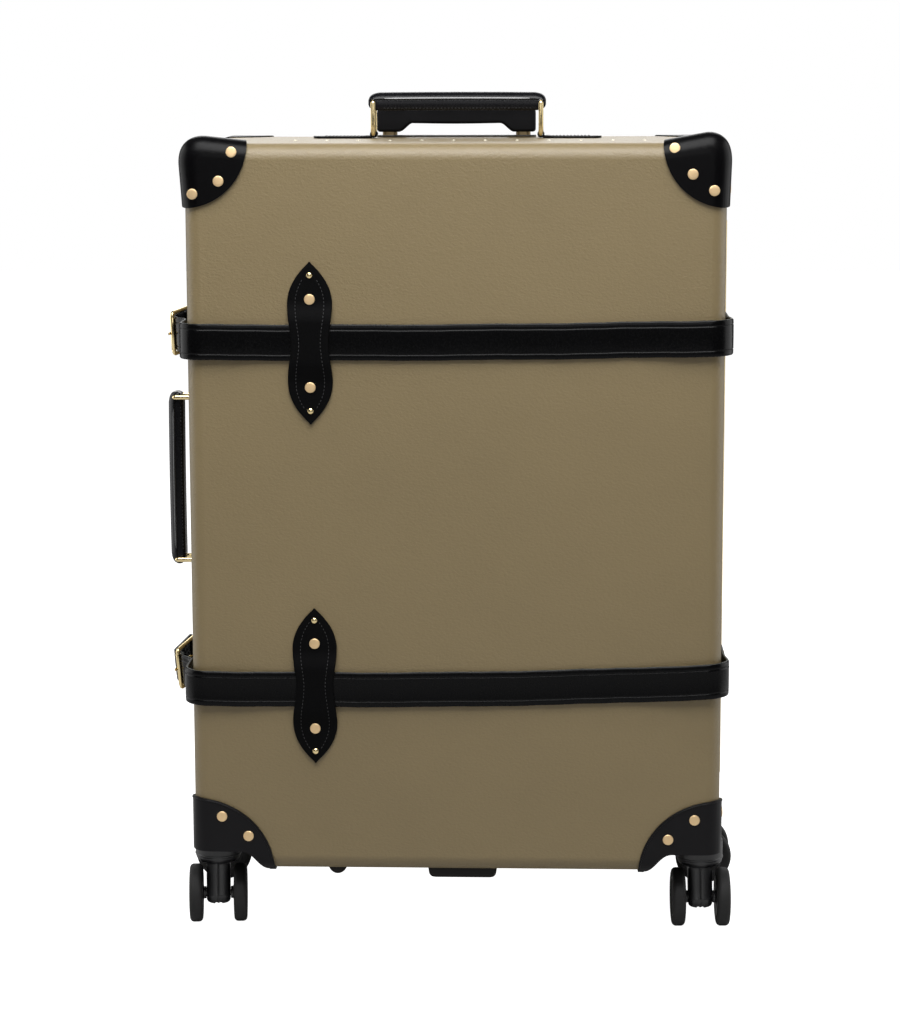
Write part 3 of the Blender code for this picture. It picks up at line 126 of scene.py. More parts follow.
def set_inputs(node, values):
    for key, value in values.items():
        node.inputs[key.replace("_", " ")].default_value = value


def put(tree, kind, settings=None, **values):
    node = tree.nodes.new(kind)
    for key, value in (settings or {}).items():
        setattr(node, key, value)
    set_inputs(node, values)
    return node


def place_coords(tree, scale=(1, 1, 1)):
    coords = put(tree, "ShaderNodeTexCoord")
    mapping = put(tree, "ShaderNodeMapping", Scale=scale)
    tree.links.new(coords.outputs["Object"], mapping.inputs["Vector"])
    return mapping.outputs["Vector"]


def noise(tree, coords, scale, detail=3.0, rough=0.55):
    node = put(tree, "ShaderNodeTexNoise", Scale=scale, Detail=detail, Roughness=rough)
    tree.links.new(coords, node.inputs["Vector"])
    return node.outputs["Fac"]


def cells(tree, coords, scale):
    node = put(tree, "ShaderNodeTexVoronoi", {"feature": "SMOOTH_F1"}, Scale=scale)
    tree.links.new(coords, node.inputs["Vector"])
    return node.outputs["Distance"]


def blend_numbers(tree, first, second, share):
    node = put(tree, "ShaderNodeMix", {"data_type": "FLOAT"})
    node.inputs[0].default_value = share
    tree.links.new(first, node.inputs[2])
    tree.links.new(second, node.inputs[3])
    return node.outputs[0]


def ramp(tree, value, stops):
    node = put(tree, "ShaderNodeValToRGB")
    band = node.color_ramp
    while len(band.elements) < len(stops):
        band.elements.new(0.5)
    for element, (place, colour) in zip(band.elements, stops):
        element.position = place
        element.color = (*colour, 1.0)
    tree.links.new(value, node.inputs["Fac"])
    return node.outputs["Color"]


def spread(tree, value, low, high):
    node = put(tree, "ShaderNodeMapRange", From_Min=0.25, From_Max=0.75, To_Min=low, To_Max=high)
    tree.links.new(value, node.inputs["Value"])
    return node.outputs["Result"]


def bumps(tree, shader, layers):
    normal = None
    for height, strength, distance in layers:
        node = put(tree, "ShaderNodeBump", Strength=strength, Distance=distance)
        tree.links.new(height, node.inputs["Height"])
        if normal:
            tree.links.new(normal, node.inputs["Normal"])
        normal = node.outputs["Normal"]
    tree.links.new(normal, shader.inputs["Normal"])


def tone(colour, factor):
    return tuple(min(1.0, c * factor) for c in colour)


def coat(tree, shader, colour, shade, stops, wear, low, high, layers, **inputs):
    """Colour that follows shade, roughness that follows wear, bumps, and the shader's other inputs."""
    tones = [(place, tone(colour, factor)) for place, factor in stops]
    tree.links.new(ramp(tree, shade, tones), shader.inputs["Base Color"])
    tree.links.new(spread(tree, wear, low, high), shader.inputs["Roughness"])
    bumps(tree, shader, layers)
    set_inputs(shader, inputs)


def fibreboard_material(name, colour):
    made, tree, shader = start_material(name)
    coords = place_coords(tree, (0.8, 1.0, 1.15))
    pebble = noise(tree, coords, 420, 4.0, 0.62)
    crease = cells(tree, coords, 360)
    mottle = blend_numbers(tree, noise(tree, coords, 5), pebble, 0.35)
    coat(tree, shader, colour, mottle, ((0.30, 0.93), (0.5, 1.0), (0.72, 1.05)), pebble, 0.36, 0.50,
         ((crease, 0.14, 0.0007), (pebble, 0.55, 0.0008)), Specular_IOR_Level=0.5)
    return made


def leather_material(name, colour, roughness, grain, strength, shine):
    made, tree, shader = start_material(name)
    coords = place_coords(tree)
    pores = cells(tree, coords, grain)
    wrinkle = noise(tree, coords, grain * 0.45, 5.0, 0.6)
    mottle = blend_numbers(tree, noise(tree, coords, 24), wrinkle, 0.4)
    coat(tree, shader, colour, mottle, ((0.25, 0.75), (0.5, 1.0), (0.8, 1.35)),
         wrinkle, roughness - 0.06, roughness + 0.08,
         ((wrinkle, strength, 0.0006), (pores, strength * 0.7, 0.0004)), Specular_IOR_Level=shine)
    return made


def metal_material(name, colour, roughness, stretch=(1, 1, 1), scratch=0.03):
    made, tree, shader = start_material(name)
    coords = place_coords(tree, stretch)
    fine, broad = noise(tree, coords, 900), noise(tree, coords, 60)
    coat(tree, shader, colour, broad, ((0.3, 0.90), (0.6, 1.0), (0.8, 1.06)), fine, roughness - 0.05, roughness + 0.07,
         ((fine, scratch, 0.0002),), Metallic=1.0)
    return made


def moulded_material(name, colour, roughness, strength, shine, scale=1600):
    made, tree, shader = start_material(name)
    coords = place_coords(tree)
    fine, broad = noise(tree, coords, scale), noise(tree, coords, 30)
    coat(tree, shader, colour, broad, ((0.3, 0.85), (0.55, 1.0), (0.8, 1.2)), broad, roughness - 0.05, roughness + 0.06,
         ((fine, strength, 0.0003),), Specular_IOR_Level=shine)
    return made


def wood_material(name, colour):
    made, tree, shader = start_material(name)
    coords = place_coords(tree, (9, 60, 9))
    grain, fine = noise(tree, coords, 14, 6.0, 0.65), noise(tree, coords, 80)
    coat(tree, shader, colour, blend_numbers(tree, grain, fine, 0.25), ((0.32, 0.72), (0.5, 1.0), (0.7, 1.12)),
         grain, 0.45, 0.6, ((grain, 0.08, 0.0004),))
    return made


def cloth_material(name, colour):
    made, tree, shader = start_material(name)
    coords = put(tree, "ShaderNodeTexCoord").outputs["Object"]
    threads = []
    for axis in ("X", "Z"):
        bands = {"wave_type": "BANDS", "bands_direction": axis}
        wave = put(tree, "ShaderNodeTexWave", bands, Scale=420, Distortion=0.4)
        tree.links.new(coords, wave.inputs["Vector"])
        threads.append(wave.outputs["Fac"])
    weave = blend_numbers(tree, *threads, 0.5)
    shade = blend_numbers(tree, weave, noise(tree, coords, 16), 0.5)
    coat(tree, shader, colour, shade, ((0.2, 0.8), (0.5, 1.0), (0.85, 1.1)), weave, 0.8, 0.92,
         ((weave, 0.25, 0.0005),), Sheen_Weight=0.15)
    return made


FIBREBOARD = fibreboard_material("fibreboard_grain", (0.177, 0.134, 0.066))
STRAP_LEATHER = leather_material("strap_leather", (0.0011, 0.0011, 0.0013), 0.24, 900, 0.03, 0.13)
LOOP_LEATHER = leather_material("loop_leather", (0.0018, 0.0018, 0.0020), 0.58, 700, 0.20, 0.05)
CAP_LEATHER = leather_material("cap_leather", (0.0011, 0.0010, 0.0013), 0.32, 1000, 0.04, 0.10)
GRIP_LEATHER = leather_material("grip_leather", (0.0034, 0.0034, 0.0044), 0.25, 1000, 0.005, 0.20)
WELT_LEATHER = leather_material("welt_leather", (0.0034, 0.0034, 0.0044), 0.20, 1000, 0.002, 1.00)
# A lighter grey for the straps' cut edges: a painted highlight that stands in for the light catching them
PAINTED_EDGE_HIGHLIGHT = leather_material("painted_edge_highlight", (0.040, 0.043, 0.041), 0.50, 1400, 0.10, 0.4)
PLASTIC = moulded_material("housing_plastic", (0.0050, 0.0047, 0.0055), 0.34, 0.05, 0.15)
CASTER_PLASTIC = moulded_material("caster_plastic", (0.0070, 0.0070, 0.0082), 0.33, 0.05, 0.65)
GRIP_PLASTIC = moulded_material("grip_plastic", (0.0040, 0.0040, 0.0047), 0.42, 0.05, 0.10)
TYRE = moulded_material("tyre_rubber", (0.0125, 0.0121, 0.0121), 0.62, 0.25, 0.3, 900)
RUBBER = moulded_material("rest_rubber", (0.012, 0.011, 0.010), 0.70, 0.12, 0.2, 900)
BRASS = metal_material("polished_brass", (0.88, 0.71, 0.38), 0.15)
RIVET_BRASS = metal_material("rivet_brass", (0.88, 0.65, 0.37), 0.50, scratch=0.06)
NAIL_BRASS = metal_material("nail_brass", (0.80, 0.74, 0.60), 0.30, scratch=0.06)
STEEL = metal_material("axle_steel", (0.45, 0.44, 0.42), 0.32)
BRONZE = metal_material("bronze_anodised", (0.24, 0.185, 0.105), 0.36, (1, 1, 0.05), 0.08)
ASH = wood_material("ash_wood", (0.56, 0.42, 0.25))
LINING = cloth_material("lining_twill", (0.34, 0.29, 0.20))
THREAD = leather_material("waxed_thread", (0.022, 0.022, 0.023), 0.45, 2400, 0.2, 0.4)
SLOT_OF = {
    FIBREBOARD: "fibreboard", ASH: "ash", TYRE: "tyre", RUBBER: "rubber", BRONZE: "bronze_tube",
    **dict.fromkeys((STRAP_LEATHER, LOOP_LEATHER, CAP_LEATHER, GRIP_LEATHER, WELT_LEATHER), "black_leather"),
    **dict.fromkeys((PLASTIC, CASTER_PLASTIC, GRIP_PLASTIC), "black_plastic"),
    **dict.fromkeys((BRASS, RIVET_BRASS, NAIL_BRASS), "brass"),
}


# Shapes

def evenly(low, high, steps):
    return [low + (high - low) * i / steps for i in range(steps + 1)]


def turns(count):
    return [2 * math.pi * i / count for i in range(count)]


def quarter(steps, first=0):
    return [math.pi / 2 * i / steps for i in range(first, steps + 1)]


def ellipse(middle, across, upward, sides):
    return [middle + across * math.cos(a) + upward * math.sin(a) for a in turns(sides)]


def both_sides(right):
    """A section made whole from its right half, whose first point lies on the middle."""
    return right + [(-u, v) for u, v in right[:0:-1]]


def chamfered(inner, outer, low, high, slim, drop):
    """Half of a turned bar or ring with a chamfer at both ends, as (radius, height) pairs."""
    return ((inner, low), (outer - slim, low), (outer, low + drop),
            (outer, high - drop), (outer - slim, high), (inner, high))


def solid_from(bm, name="work"):
    mesh = bpy.data.meshes.new(name)
    bm.to_mesh(mesh)
    bm.free()
    solid = bpy.data.objects.new(name, mesh)
    bpy.context.scene.collection.objects.link(solid)
    return solid


def make_solid(bm, name="work"):
    bmesh.ops.recalc_face_normals(bm, faces=bm.faces)
    return solid_from(bm, name)


def skin(bm, loops, closed=False):
    rows = [[bm.verts.new(point) for point in loop] for loop in loops]
    following = rows[1:] + rows[:1] if closed else rows[1:]
    for near, far in zip(rows, following):
        for i in range(len(near)):
            j = (i + 1) % len(near)
            bm.faces.new((near[i], near[j], far[j], far[i]))
    if not closed:
        bm.faces.new(rows[0])
        bm.faces.new(rows[-1])


def loft(loops, closed=False):
    bm = bmesh.new()
    skin(bm, loops, closed)
    return make_solid(bm)


def prism(outline, axis, low, high):
    place = {
        "X": lambda u, v, h: (h, u, v),
        "Y": lambda u, v, h: (u, h, v),
        "Z": lambda u, v, h: (u, v, h),
    }[axis]
    return loft([[place(u, v, h) for u, v in outline] for h in (low, high)])


def block(low, high):
    outline = ((low[0], low[1]), (high[0], low[1]), (high[0], high[1]), (low[0], high[1]))
    return prism(outline, "Z", low[2], high[2])


def turn(bm, profile, origin, axis, sides):
    up = Vector(axis).normalized()
    side = up.orthogonal().normalized()
    other = up.cross(side)
    rows = []
    for radius, height in profile:
        ring = ellipse(Vector(origin) + up * height, side * radius, other * radius, sides)
        rows.append([bm.verts.new(spot) for spot in (ring if radius > 0 else ring[:1])])
    for near, far in zip(rows, rows[1:]):
        for i in range(sides):
            j = (i + 1) % sides
            corners = (near[i % len(near)], near[j % len(near)], far[j % len(far)], far[i % len(far)])
            bm.faces.new(tuple(dict.fromkeys(corners)))


def lathe(profile, origin=(0, 0, 0), axis=(0, 0, 1), sides=48):
    bm = bmesh.new()
    turn(bm, profile, origin, axis, sides)
    return make_solid(bm)


def rod(origin, axis, radius, low, high, sides=32):
    return lathe(((0, low), (radius, low), (radius, high), (0, high)), origin, axis, sides)


def bushing(centre, rings, sides=28):
    """A closed ring about an upright axis, from (radius, height) pairs."""
    loops = [ellipse(centre + UPRIGHT * h, Vector((r, 0, 0)), Vector((0, r, 0)), sides) for r, h in rings]
    return loft(loops, closed=True)


def applied(obj):
    bpy.context.view_layer.update()
    graph = bpy.context.evaluated_depsgraph_get()
    mesh = bpy.data.meshes.new_from_object(obj.evaluated_get(graph))
    obj.modifiers.clear()
    obj.data = mesh
    return obj


def combine(target, tool, operation):
    change = target.modifiers.new("combine", "BOOLEAN")
    change.operation = operation
    change.object = tool
    change.solver = "EXACT"
    applied(target)
    bpy.data.objects.remove(tool)
    return target


def cut(target, tool):
    return combine(target, tool, "DIFFERENCE")


def join(target, tool):
    return combine(target, tool, "UNION")


def keep(target, tool):
    return combine(target, tool, "INTERSECT")


def gathered(*solids):
    bm = bmesh.new()
    for solid in solids:
        bm.from_mesh(solid.data)
        bpy.data.objects.remove(solid)
    return solid_from(bm)


def mirrored(solid, x=False, y=False):
    bm = bmesh.new()
    bm.from_mesh(solid.data)
    bmesh.ops.scale(bm, vec=(-1 if x else 1, -1 if y else 1, 1), verts=bm.verts)
    return make_solid(bm)


def moved(solid, matrix):
    solid.data.transform(matrix)
    return solid


def soften(solid, width, segments=2, angle=40):
    edge = solid.modifiers.new("soft_edges", "BEVEL")
    edge.width = width
    edge.segments = segments
    edge.limit_method = "ANGLE"
    edge.angle_limit = math.radians(angle)
    edge.use_clamp_overlap = True
    return applied(solid)


def show(solid, name, material, body, *nodes, sharp=40, flat_weight=False, edge=None):
    solid.data.transform(Matrix.Translation(SHIFT))
    solid.name = name
    solid.data.name = name
    solid.data.materials.clear()
    solid.data.materials.append(material)
    # The second material paints the upper and lower edge faces lighter, a painted highlight
    if edge:
        solid.data.materials.append(edge)
        for face in solid.data.polygons:
            face.material_index = int(abs(face.normal.z) > 0.72)
    solid.data.shade_smooth()
    solid.data.set_sharp_from_angle(angle=math.radians(sharp))
    if flat_weight:
        weigh = solid.modifiers.new("flat_faces", "WEIGHTED_NORMAL")
        weigh.keep_sharp = True
        weigh.weight = 100
    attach(solid, body)
    if nodes:
        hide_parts(*nodes)
    return solid


def rounded(half_u, half_v, radius, steps):
    points = []
    for corner, (u, v) in enumerate(((1, 1), (-1, 1), (-1, -1), (1, -1))):
        for i in range(steps + 1):
            a = math.pi / 2 * (corner + i / steps)
            points.append((u * (half_u - radius) + radius * math.cos(a),
                           v * (half_v - radius) + radius * math.sin(a), a))
    return points


def rounded_outline(half_u, half_v, radius, centre=(0, 0), steps=8):
    return [(u + centre[0], v + centre[1]) for u, v, _ in rounded(half_u, half_v, radius, steps)]


def ease(t):
    t = min(1.0, max(0.0, t))
    return t * t * (3 - 2 * t)


def smooth_path(points, steps):
    """Points on a Catmull-Rom curve through the given points."""
    out = []
    points = [Vector(p) for p in points]
    for i in range(len(points) - 1):
        p0, p1 = points[max(i - 1, 0)], points[i]
        p2, p3 = points[i + 1], points[min(i + 2, len(points) - 1)]
        for k in range(steps):
            t = k / steps
            out.append(0.5 * ((2 * p1) + (p2 - p0) * t + (2 * p0 - 5 * p1 + 4 * p2 - p3) * t * t
                              + (3 * p1 - p0 - 3 * p2 + p3) * t ** 3))
    return out + [points[-1]]


def case_outline(grow, y):
    flat = rounded(BODY_W / 2 + grow, BODY_H / 2 + grow, max(CORNER_R + grow, 0.0005), CORNER_STEPS)
    return [(u, y, v + CLEARANCE + BODY_H / 2) for u, v, _ in flat]


def envelope_loops(side, grow, rim):
    bend = BEND_R + grow
    bend_y = side * (BODY_D / 2 - BEND_R)
    loops = [case_outline(grow, rim)]
    for a in quarter(BEND_STEPS):
        loops.append(case_outline(grow - bend * (1 - math.cos(a)), bend_y + side * bend * math.sin(a)))
    return loops


def tray(side, outer, inner, rim):
    return loft(envelope_loops(side, inner, rim)[::-1] + envelope_loops(side, outer, rim))


def rim_y(side):
    return JOINT_Y + side * RIM_GAP / 2


def bottom_corner_block(width, depth, top):
    low = (LEFT_X - REACH, FRONT_Y - REACH, CLEARANCE - REACH)
    return block(low, (LEFT_X + width, FRONT_Y + depth, top))


def tube_x(side):
    return TROLLEY_X + side * TUBE_PITCH / 2


def tube_outline(grow, x, steps=6):
    return rounded_outline(TUBE_W / 2 + grow, TUBE_DEPTH / 2 + grow, TUBE_ROUND + grow, (x, TROLLEY_Y), steps)


BODY_OF = {-1: "lid", 1: "case_base"}
WORD_OF = {-1: "lid", 1: "base"}

# Shells, frames and linings
LINING_FACE, LINED_ROOM, LINED_HOLE, SHELL_EDGE, FRAME_EDGE = 0.0014, 0.0006, 0.001, 0.0005, 0.0012
PANEL_GAP, PANEL_OFF, PANEL_STEPS = 0.0022, 0.0005, ((0.0, 0.0), (0.0016, 0.0), (0.0026, 0.0012))


def cut_cups(target, side, grow):
    """Cuts the room for the cups of both bottom corners."""
    for flip in (False, True):
        notch = bottom_corner_block(CUP_W + grow, CUP_D + grow, CUP_TOP + grow)
        cut(target, mirrored(notch, x=flip, y=side > 0))
        bpy.data.objects.remove(notch)


for side, word in WORD_OF.items():
    near, far = rim_y(side), rim_y(side) + side * FRAME_W
    outer = -WALL - FIT
    shell = tray(side, 0.0, -WALL, near)
    lining = tray(side, outer, -WALL - LINING_FACE, near + side * (FRAME_W + FIT))
    cut_cups(shell, side, 0.0)
    cut_cups(lining, side, LINED_ROOM)
    if side > 0:
        for hand in (-1, 1):
            for target, room, low in ((shell, FIT, TOP - REACH), (lining, LINED_HOLE, 0.0)):
                hole = tube_outline(SLEEVE_CLEAR + SLEEVE_WALL + room, tube_x(hand))
                cut(target, prism(hole, "Z", low, TOP + REACH))
    soften(shell, SHELL_EDGE, 2, 55)
    show(shell, f"{word}_board", FIBREBOARD, BODY_OF[side], f"{word}_shell", flat_weight=True)
    show(lining, f"{word}_lining", LINING, BODY_OF[side], flat_weight=True)
    rings = ((outer, near), (outer, far), (outer - FRAME_T, far), (outer - FRAME_T, near))
    hoop = loft([case_outline(grow, y) for grow, y in rings], closed=True)
    soften(hoop, FRAME_EDGE, 3)
    show(hoop, f"{word}_hoop", ASH, BODY_OF[side], f"{word}_frame", flat_weight=True)

panel_y = TROLLEY_Y - TUBE_DEPTH / 2 - SLEEVE_CLEAR - SLEEVE_WALL - PANEL_OFF
panel_loops = []
for drop, shrink in PANEL_STEPS:
    inset = WALL + PANEL_GAP + shrink
    flat = rounded(BODY_W / 2 - inset, BODY_H / 2 - inset, CORNER_R - WALL, CORNER_STEPS)
    panel_loops.append([(u, panel_y - drop, v + CLEARANCE + BODY_H / 2) for u, v, _ in flat])
panel = loft(panel_loops)
cut_cups(panel, 1, LINED_ROOM)
show(panel, "base_back_panel", LINING, "case_base", flat_weight=True)


# Corner caps and caster housings, built at the front left and mirrored

def corner_arc(centre_u, radius_u, radius_v, steps=36):
    low = CLEARANCE - REACH
    arc = [(centre_u + radius_u * math.cos(a), CLEARANCE + radius_v * math.sin(a)) for a in quarter(steps)]
    return [(centre_u - REACH, low), (centre_u + radius_u, low), *arc, (centre_u - REACH, CLEARANCE + radius_v)]


def recess_outline(steps=20):
    outline = [(LEFT_X - REACH, CLEARANCE - REACH), (LEFT_X - REACH, RECESS_Z)]
    for t in evenly(0, 1, steps):
        u = RECESS_FLAT_W + (RECESS_W - RECESS_FLAT_W) * t
        drop = (1 - math.cos(math.pi * t ** RECESS_SKEW)) / 2
        outline.append((LEFT_X + u, RECESS_Z - RECESS_H * drop))
    outline.append((LEFT_X + RECESS_W, CLEARANCE - REACH))
    return outline


def on_case(x, z, grow, side):
    """A point on the front or back of the case, and the surface's normal there, from its front view place."""
    gaps = ((x - LEFT_X, Vector((-1, 0, 0))), (RIGHT_X - x, Vector((1, 0, 0))),
            (TOP - z, Vector((0, 0, 1))), (z - CLEARANCE, Vector((0, 0, -1))))
    inset, outward = min(gaps, key=lambda g: g[0])
    facing = Vector((0, side, 0))
    if inset >= BEND_R:
        return Vector((x, side * (BODY_D / 2 + grow), z)), facing
    radius = BEND_R + grow
    c = max(0.0, min(1.0, (BEND_R - inset) / radius))
    s = math.sqrt(1 - c * c)
    spot = Vector((x, side * (BODY_D / 2 - BEND_R + radius * s), z))
    return spot, (outward * c + facing * s).normalized()


RIVET_LEAN = 0.70
SWELL_REACH, SWELL_BAND, REAR_SWELL = CAP_R * 0.80, 0.030, (0.0004, 0.0004)


def on_cap(x, z, grow, side):
    """The same for a rivet, whose head lies flatter than the bend."""
    spot, normal = on_case(x, z, grow, side)
    return spot, normal.lerp(Vector((0, side, 0)), RIVET_LEAN).normalized()


def swollen(spot, corner):
    """A point of a cap: the leather stands off at the corner and lies down at its edge."""
    sideways, upward = CAP_SWELL.get(corner, REAR_SWELL)
    over, out, back = TOP - spot.z, BODY_W / 2 - abs(spot.x), BODY_D / 2 - abs(spot.y)
    fade = ease(1.25 - math.sqrt(over ** 2 + out ** 2 + back ** 2) / SWELL_REACH)
    aside = math.copysign(sideways, spot.x) * fade * ease(1.2 - out / SWELL_BAND)
    return spot + Vector((aside, 0, upward * fade * ease(1.2 - over / SWELL_BAND)))


def swell(cap, corner):
    for vert in cap.data.vertices:
        vert.co = swollen(vert.co, corner)
    return cap


def housing_bead(inset=0.0014, radius=0.00072, sides=12):
    """A fine bead just inside the flap's edge, on the front, round the bend and on the side."""
    width, depth, height = HOUSING_W - inset, HOUSING_D - inset, HOUSING_H - inset
    stop, low = math.acos(BEND_R / width), math.asin(CORNER_R / height)
    path = [on_case(LEFT_X + width * math.cos(a), CLEARANCE + height * math.sin(a), HOUSING_T, -1)
            for a in evenly(0.05, stop, 40)]
    for a in quarter(12, 1)[:-1]:
        normal = Vector((-math.sin(a), -math.cos(a), 0))
        level = math.sin(stop) + (1 - math.sin(stop)) * math.sin(2 * a)
        middle = Vector((LEFT_X + BEND_R, FRONT_Y + BEND_R, CLEARANCE + height * level))
        path.append((middle + normal * (BEND_R + HOUSING_T), normal))
    for a in evenly(math.acos(BEND_R / depth), low, 30):
        spot = Vector((LEFT_X - HOUSING_T, FRONT_Y + depth * math.cos(a), CLEARANCE + height * math.sin(a)))
        path.append((spot, Vector((-1, 0, 0))))
    loops = []
    last = len(path) - 1
    for i, (spot, normal) in enumerate(path):
        along = (path[min(i + 1, last)][0] - path[max(i - 1, 0)][0]).normalized()
        across = along.cross(normal).normalized()
        size = radius * min(1.0, 0.2 + min(i, last - i) / 5)
        loops.append(ellipse(spot, across * size, normal * size, sides))
    return loft(loops)


caps = {}
for side in (-1, 1):
    caps[side] = tray(-1, FIT + CAP_T[side], FIT, rim_y(-1))
    bm = bmesh.new()
    bmesh.ops.create_uvsphere(bm, u_segments=112, v_segments=56, radius=CAP_R)
    bmesh.ops.translate(bm, vec=(LEFT_X, FRONT_Y, TOP), verts=bm.verts)
    keep(caps[side], make_solid(bm))
    soften(caps[side], CAP_T[side] / 4, 3, 50)

housing = tray(-1, HOUSING_T, FIT, rim_y(-1))
keep(housing, prism(corner_arc(LEFT_X, HOUSING_W, HOUSING_H), "Y", FRONT_Y - REACH, 0.0))
keep(housing, prism(corner_arc(FRONT_Y, HOUSING_D, HOUSING_H), "X", LEFT_X - REACH, 0.0))
cup = loft(envelope_loops(-1, HOUSING_T, rim_y(-1)))
keep(cup, bottom_corner_block(CUP_W - FIT, CUP_D - FIT, CUP_TOP - FIT))
join(housing, cup)
cut(housing, prism(recess_outline(), "Y", FRONT_Y - REACH, FRONT_Y + RECESS_D))
cut(housing, rod((-CASTER_X, -CASTER_Y, 0), (0, 0, 1), KING_PIN_R + FIT, RECESS_Z - REACH, CUP_TOP + REACH))
soften(housing, 0.0006, 3, 50)
housing = gathered(housing, housing_bead())


# Casters, built about the swivel axis

def inset_outline(outline, inset):
    """A convex outline drawn in along its corner normals."""
    count = len(outline)
    area = sum(outline[i - 1][0] * outline[i][1] - outline[i][0] * outline[i - 1][1] for i in range(count))
    sign = 1 if area > 0 else -1
    points = []
    for i, (u, v) in enumerate(outline):
        before, after = outline[i - 1], outline[(i + 1) % count]
        along = Vector((after[0] - before[0], after[1] - before[1])).normalized()
        points.append((u - sign * along.y * inset, v + sign * along.x * inset))
    return points


def caster_fork():
    collar_top = RECESS_Z - FIT
    bowl_top = collar_top - COLLAR_RIM
    bowl_low = bowl_top - COLLAR_BOWL
    pin_top = collar_top + KING_PIN_L
    profile = [(0, pin_top), (KING_PIN_R, pin_top), (KING_PIN_R, collar_top)]
    profile += [(COLLAR_R - 0.0006, collar_top), (COLLAR_R, collar_top - 0.0006), (COLLAR_R, bowl_top + 0.0030)]
    profile += [(COLLAR_R + 0.0004, bowl_top + 0.0022), (COLLAR_R + 0.0005, bowl_top + 0.0014)]
    profile += [(COLLAR_R + 0.0002, bowl_top + 0.0006), (COLLAR_R - 0.0003, bowl_top)]
    for a in quarter(12, 1):
        profile.append((NECK_R + (COLLAR_R - 0.0003 - NECK_R) * math.cos(a), bowl_top - COLLAR_BOWL * math.sin(a)))
    profile.append((0, bowl_low))
    fork = lathe(profile, sides=72)
    outline = [(-NECK_R, bowl_low + COLLAR_BOWL / 2), (-NECK_R - 0.0004, bowl_low)]
    for a in evenly(math.pi, 2 * math.pi, 32):
        outline.append((-TRAIL + BOSS_R * math.cos(a), WHEEL_R + BOSS_R * math.sin(a)))
    outline += [(NECK_R, bowl_low), (NECK_R, bowl_low + COLLAR_BOWL / 2)]
    half = FORK_W / 2
    side = ((1.0, 0.0052), (0.985, 0.0042), (0.95, 0.0032), (0.88, 0.0022), (0.76, 0.0013), (0.60, 0.0007),
            (0.40, 0.0002), (0.09, 0.0), (0.03, 0.0005))
    stations = [(-x, inset) for x, inset in side] + [(0.0, 0.0006)] + list(side[::-1])
    legs = loft([[(x * half, u, v) for u, v in inset_outline(outline, inset)] for x, inset in stations])
    low = WHEEL_R - BOSS_R
    for x in (-NOTCH_X, NOTCH_X):
        notch = rounded_outline(NOTCH_W / 2, NOTCH_H + 0.004, 0.0012, (x, low - 0.004), 5)
        cut(legs, prism(notch, "Y", -TRAIL - REACH, TRAIL + REACH))
    cut(legs, rod((0, -TRAIL, WHEEL_R), (1, 0, 0), AXLE_BORE_R, -FORK_W, FORK_W))
    return gathered(fork, legs)


def caster_wheels():
    tyres, hubs = bmesh.new(), bmesh.new()
    half = WHEEL_SPAN / 2
    inner = half - WHEEL_W
    deep, wide = 0.0040, 0.0042
    tyre = [(0, inner + 0.0008), (WHEEL_R * 0.70, inner + 0.0008), (WHEEL_R * 0.80, inner)]
    tyre += [(WHEEL_R - deep * (1 - math.sin(a)), inner + wide * (1 - math.cos(a))) for a in quarter(6)]
    tyre += [(WHEEL_R - deep * (1 - math.cos(a)), half - wide * (1 - math.sin(a))) for a in quarter(6)]
    tyre += [(WHEEL_R * 0.80, half), (WHEEL_R * 0.70, half - 0.0008), (0, half - 0.0008)]
    hub = [(0, FORK_W / 2 + 0.0004), (0.0058, FORK_W / 2 + 0.0004), (0.0062, FORK_W / 2 + 0.0009)]
    hub += [(0.0062, inner - 0.0012), (0.0085, inner - 0.0004), (WHEEL_R * 0.70, inner - 0.0002)]
    face = ((0.70, 0.0012), (0.67, 0.0006), (0.63, 0.0006), (0.60, 0.0024), (0.34, 0.0028), (0.31, 0.0014),
            (0.27, 0.0009))
    hub += [(WHEEL_R * share, half - drop) for share, drop in face] + [(0, half - 0.0009)]
    for hand in (-1, 1):
        turn(tyres, tyre, (0, 0, 0), (hand, 0, 0), 72)
        turn(hubs, hub, (0, 0, 0), (hand, 0, 0), 64)
    axle = rod((0, 0, 0), (1, 0, 0), AXLE_R, -FORK_W / 2 - 0.002, FORK_W / 2 + 0.002)
    return make_solid(tyres), make_solid(hubs), axle


for row, y_sign in (("front", -1), ("rear", 1)):
    for hand, x_sign in (("left", -1), ("right", 1)):
        corner = f"{row}_{hand}"
        body = BODY_OF[y_sign]
        flips = {"x": x_sign > 0, "y": y_sign > 0}
        cap = swell(mirrored(caps[y_sign], **flips), corner)
        show(cap, f"leather_cap_{corner}", CAP_LEATHER, body, f"corner_cap_{corner}", sharp=50, flat_weight=True)
        show(mirrored(housing, **flips), f"moulded_housing_{corner}", PLASTIC, body, f"caster_housing_{corner}",
             sharp=50, flat_weight=True)
        swivel = Matrix.Translation((x_sign * CASTER_X, y_sign * CASTER_Y, 0))
        swivel = swivel @ Matrix.Rotation(math.radians(CASTER_TURN[corner]), 4, "Z")
        show(moved(caster_fork(), swivel), f"fork_{corner}", CASTER_PLASTIC, f"caster_{corner}",
             f"caster_fork_{corner}", flat_weight=True)
        axle_place = swivel @ Matrix.Translation((0, -TRAIL, WHEEL_R))
        tyres, hubs, axle = (moved(p, axle_place) for p in caster_wheels())
        show(tyres, f"tyres_{corner}", TYRE, f"wheels_{corner}", f"wheel_set_{corner}")
        show(hubs, f"hubs_{corner}", CASTER_PLASTIC, f"wheels_{corner}")
        show(axle, f"axle_{corner}", STEEL, f"wheels_{corner}")
for work in (*caps.values(), housing):
    bpy.data.objects.remove(work)


# Straps

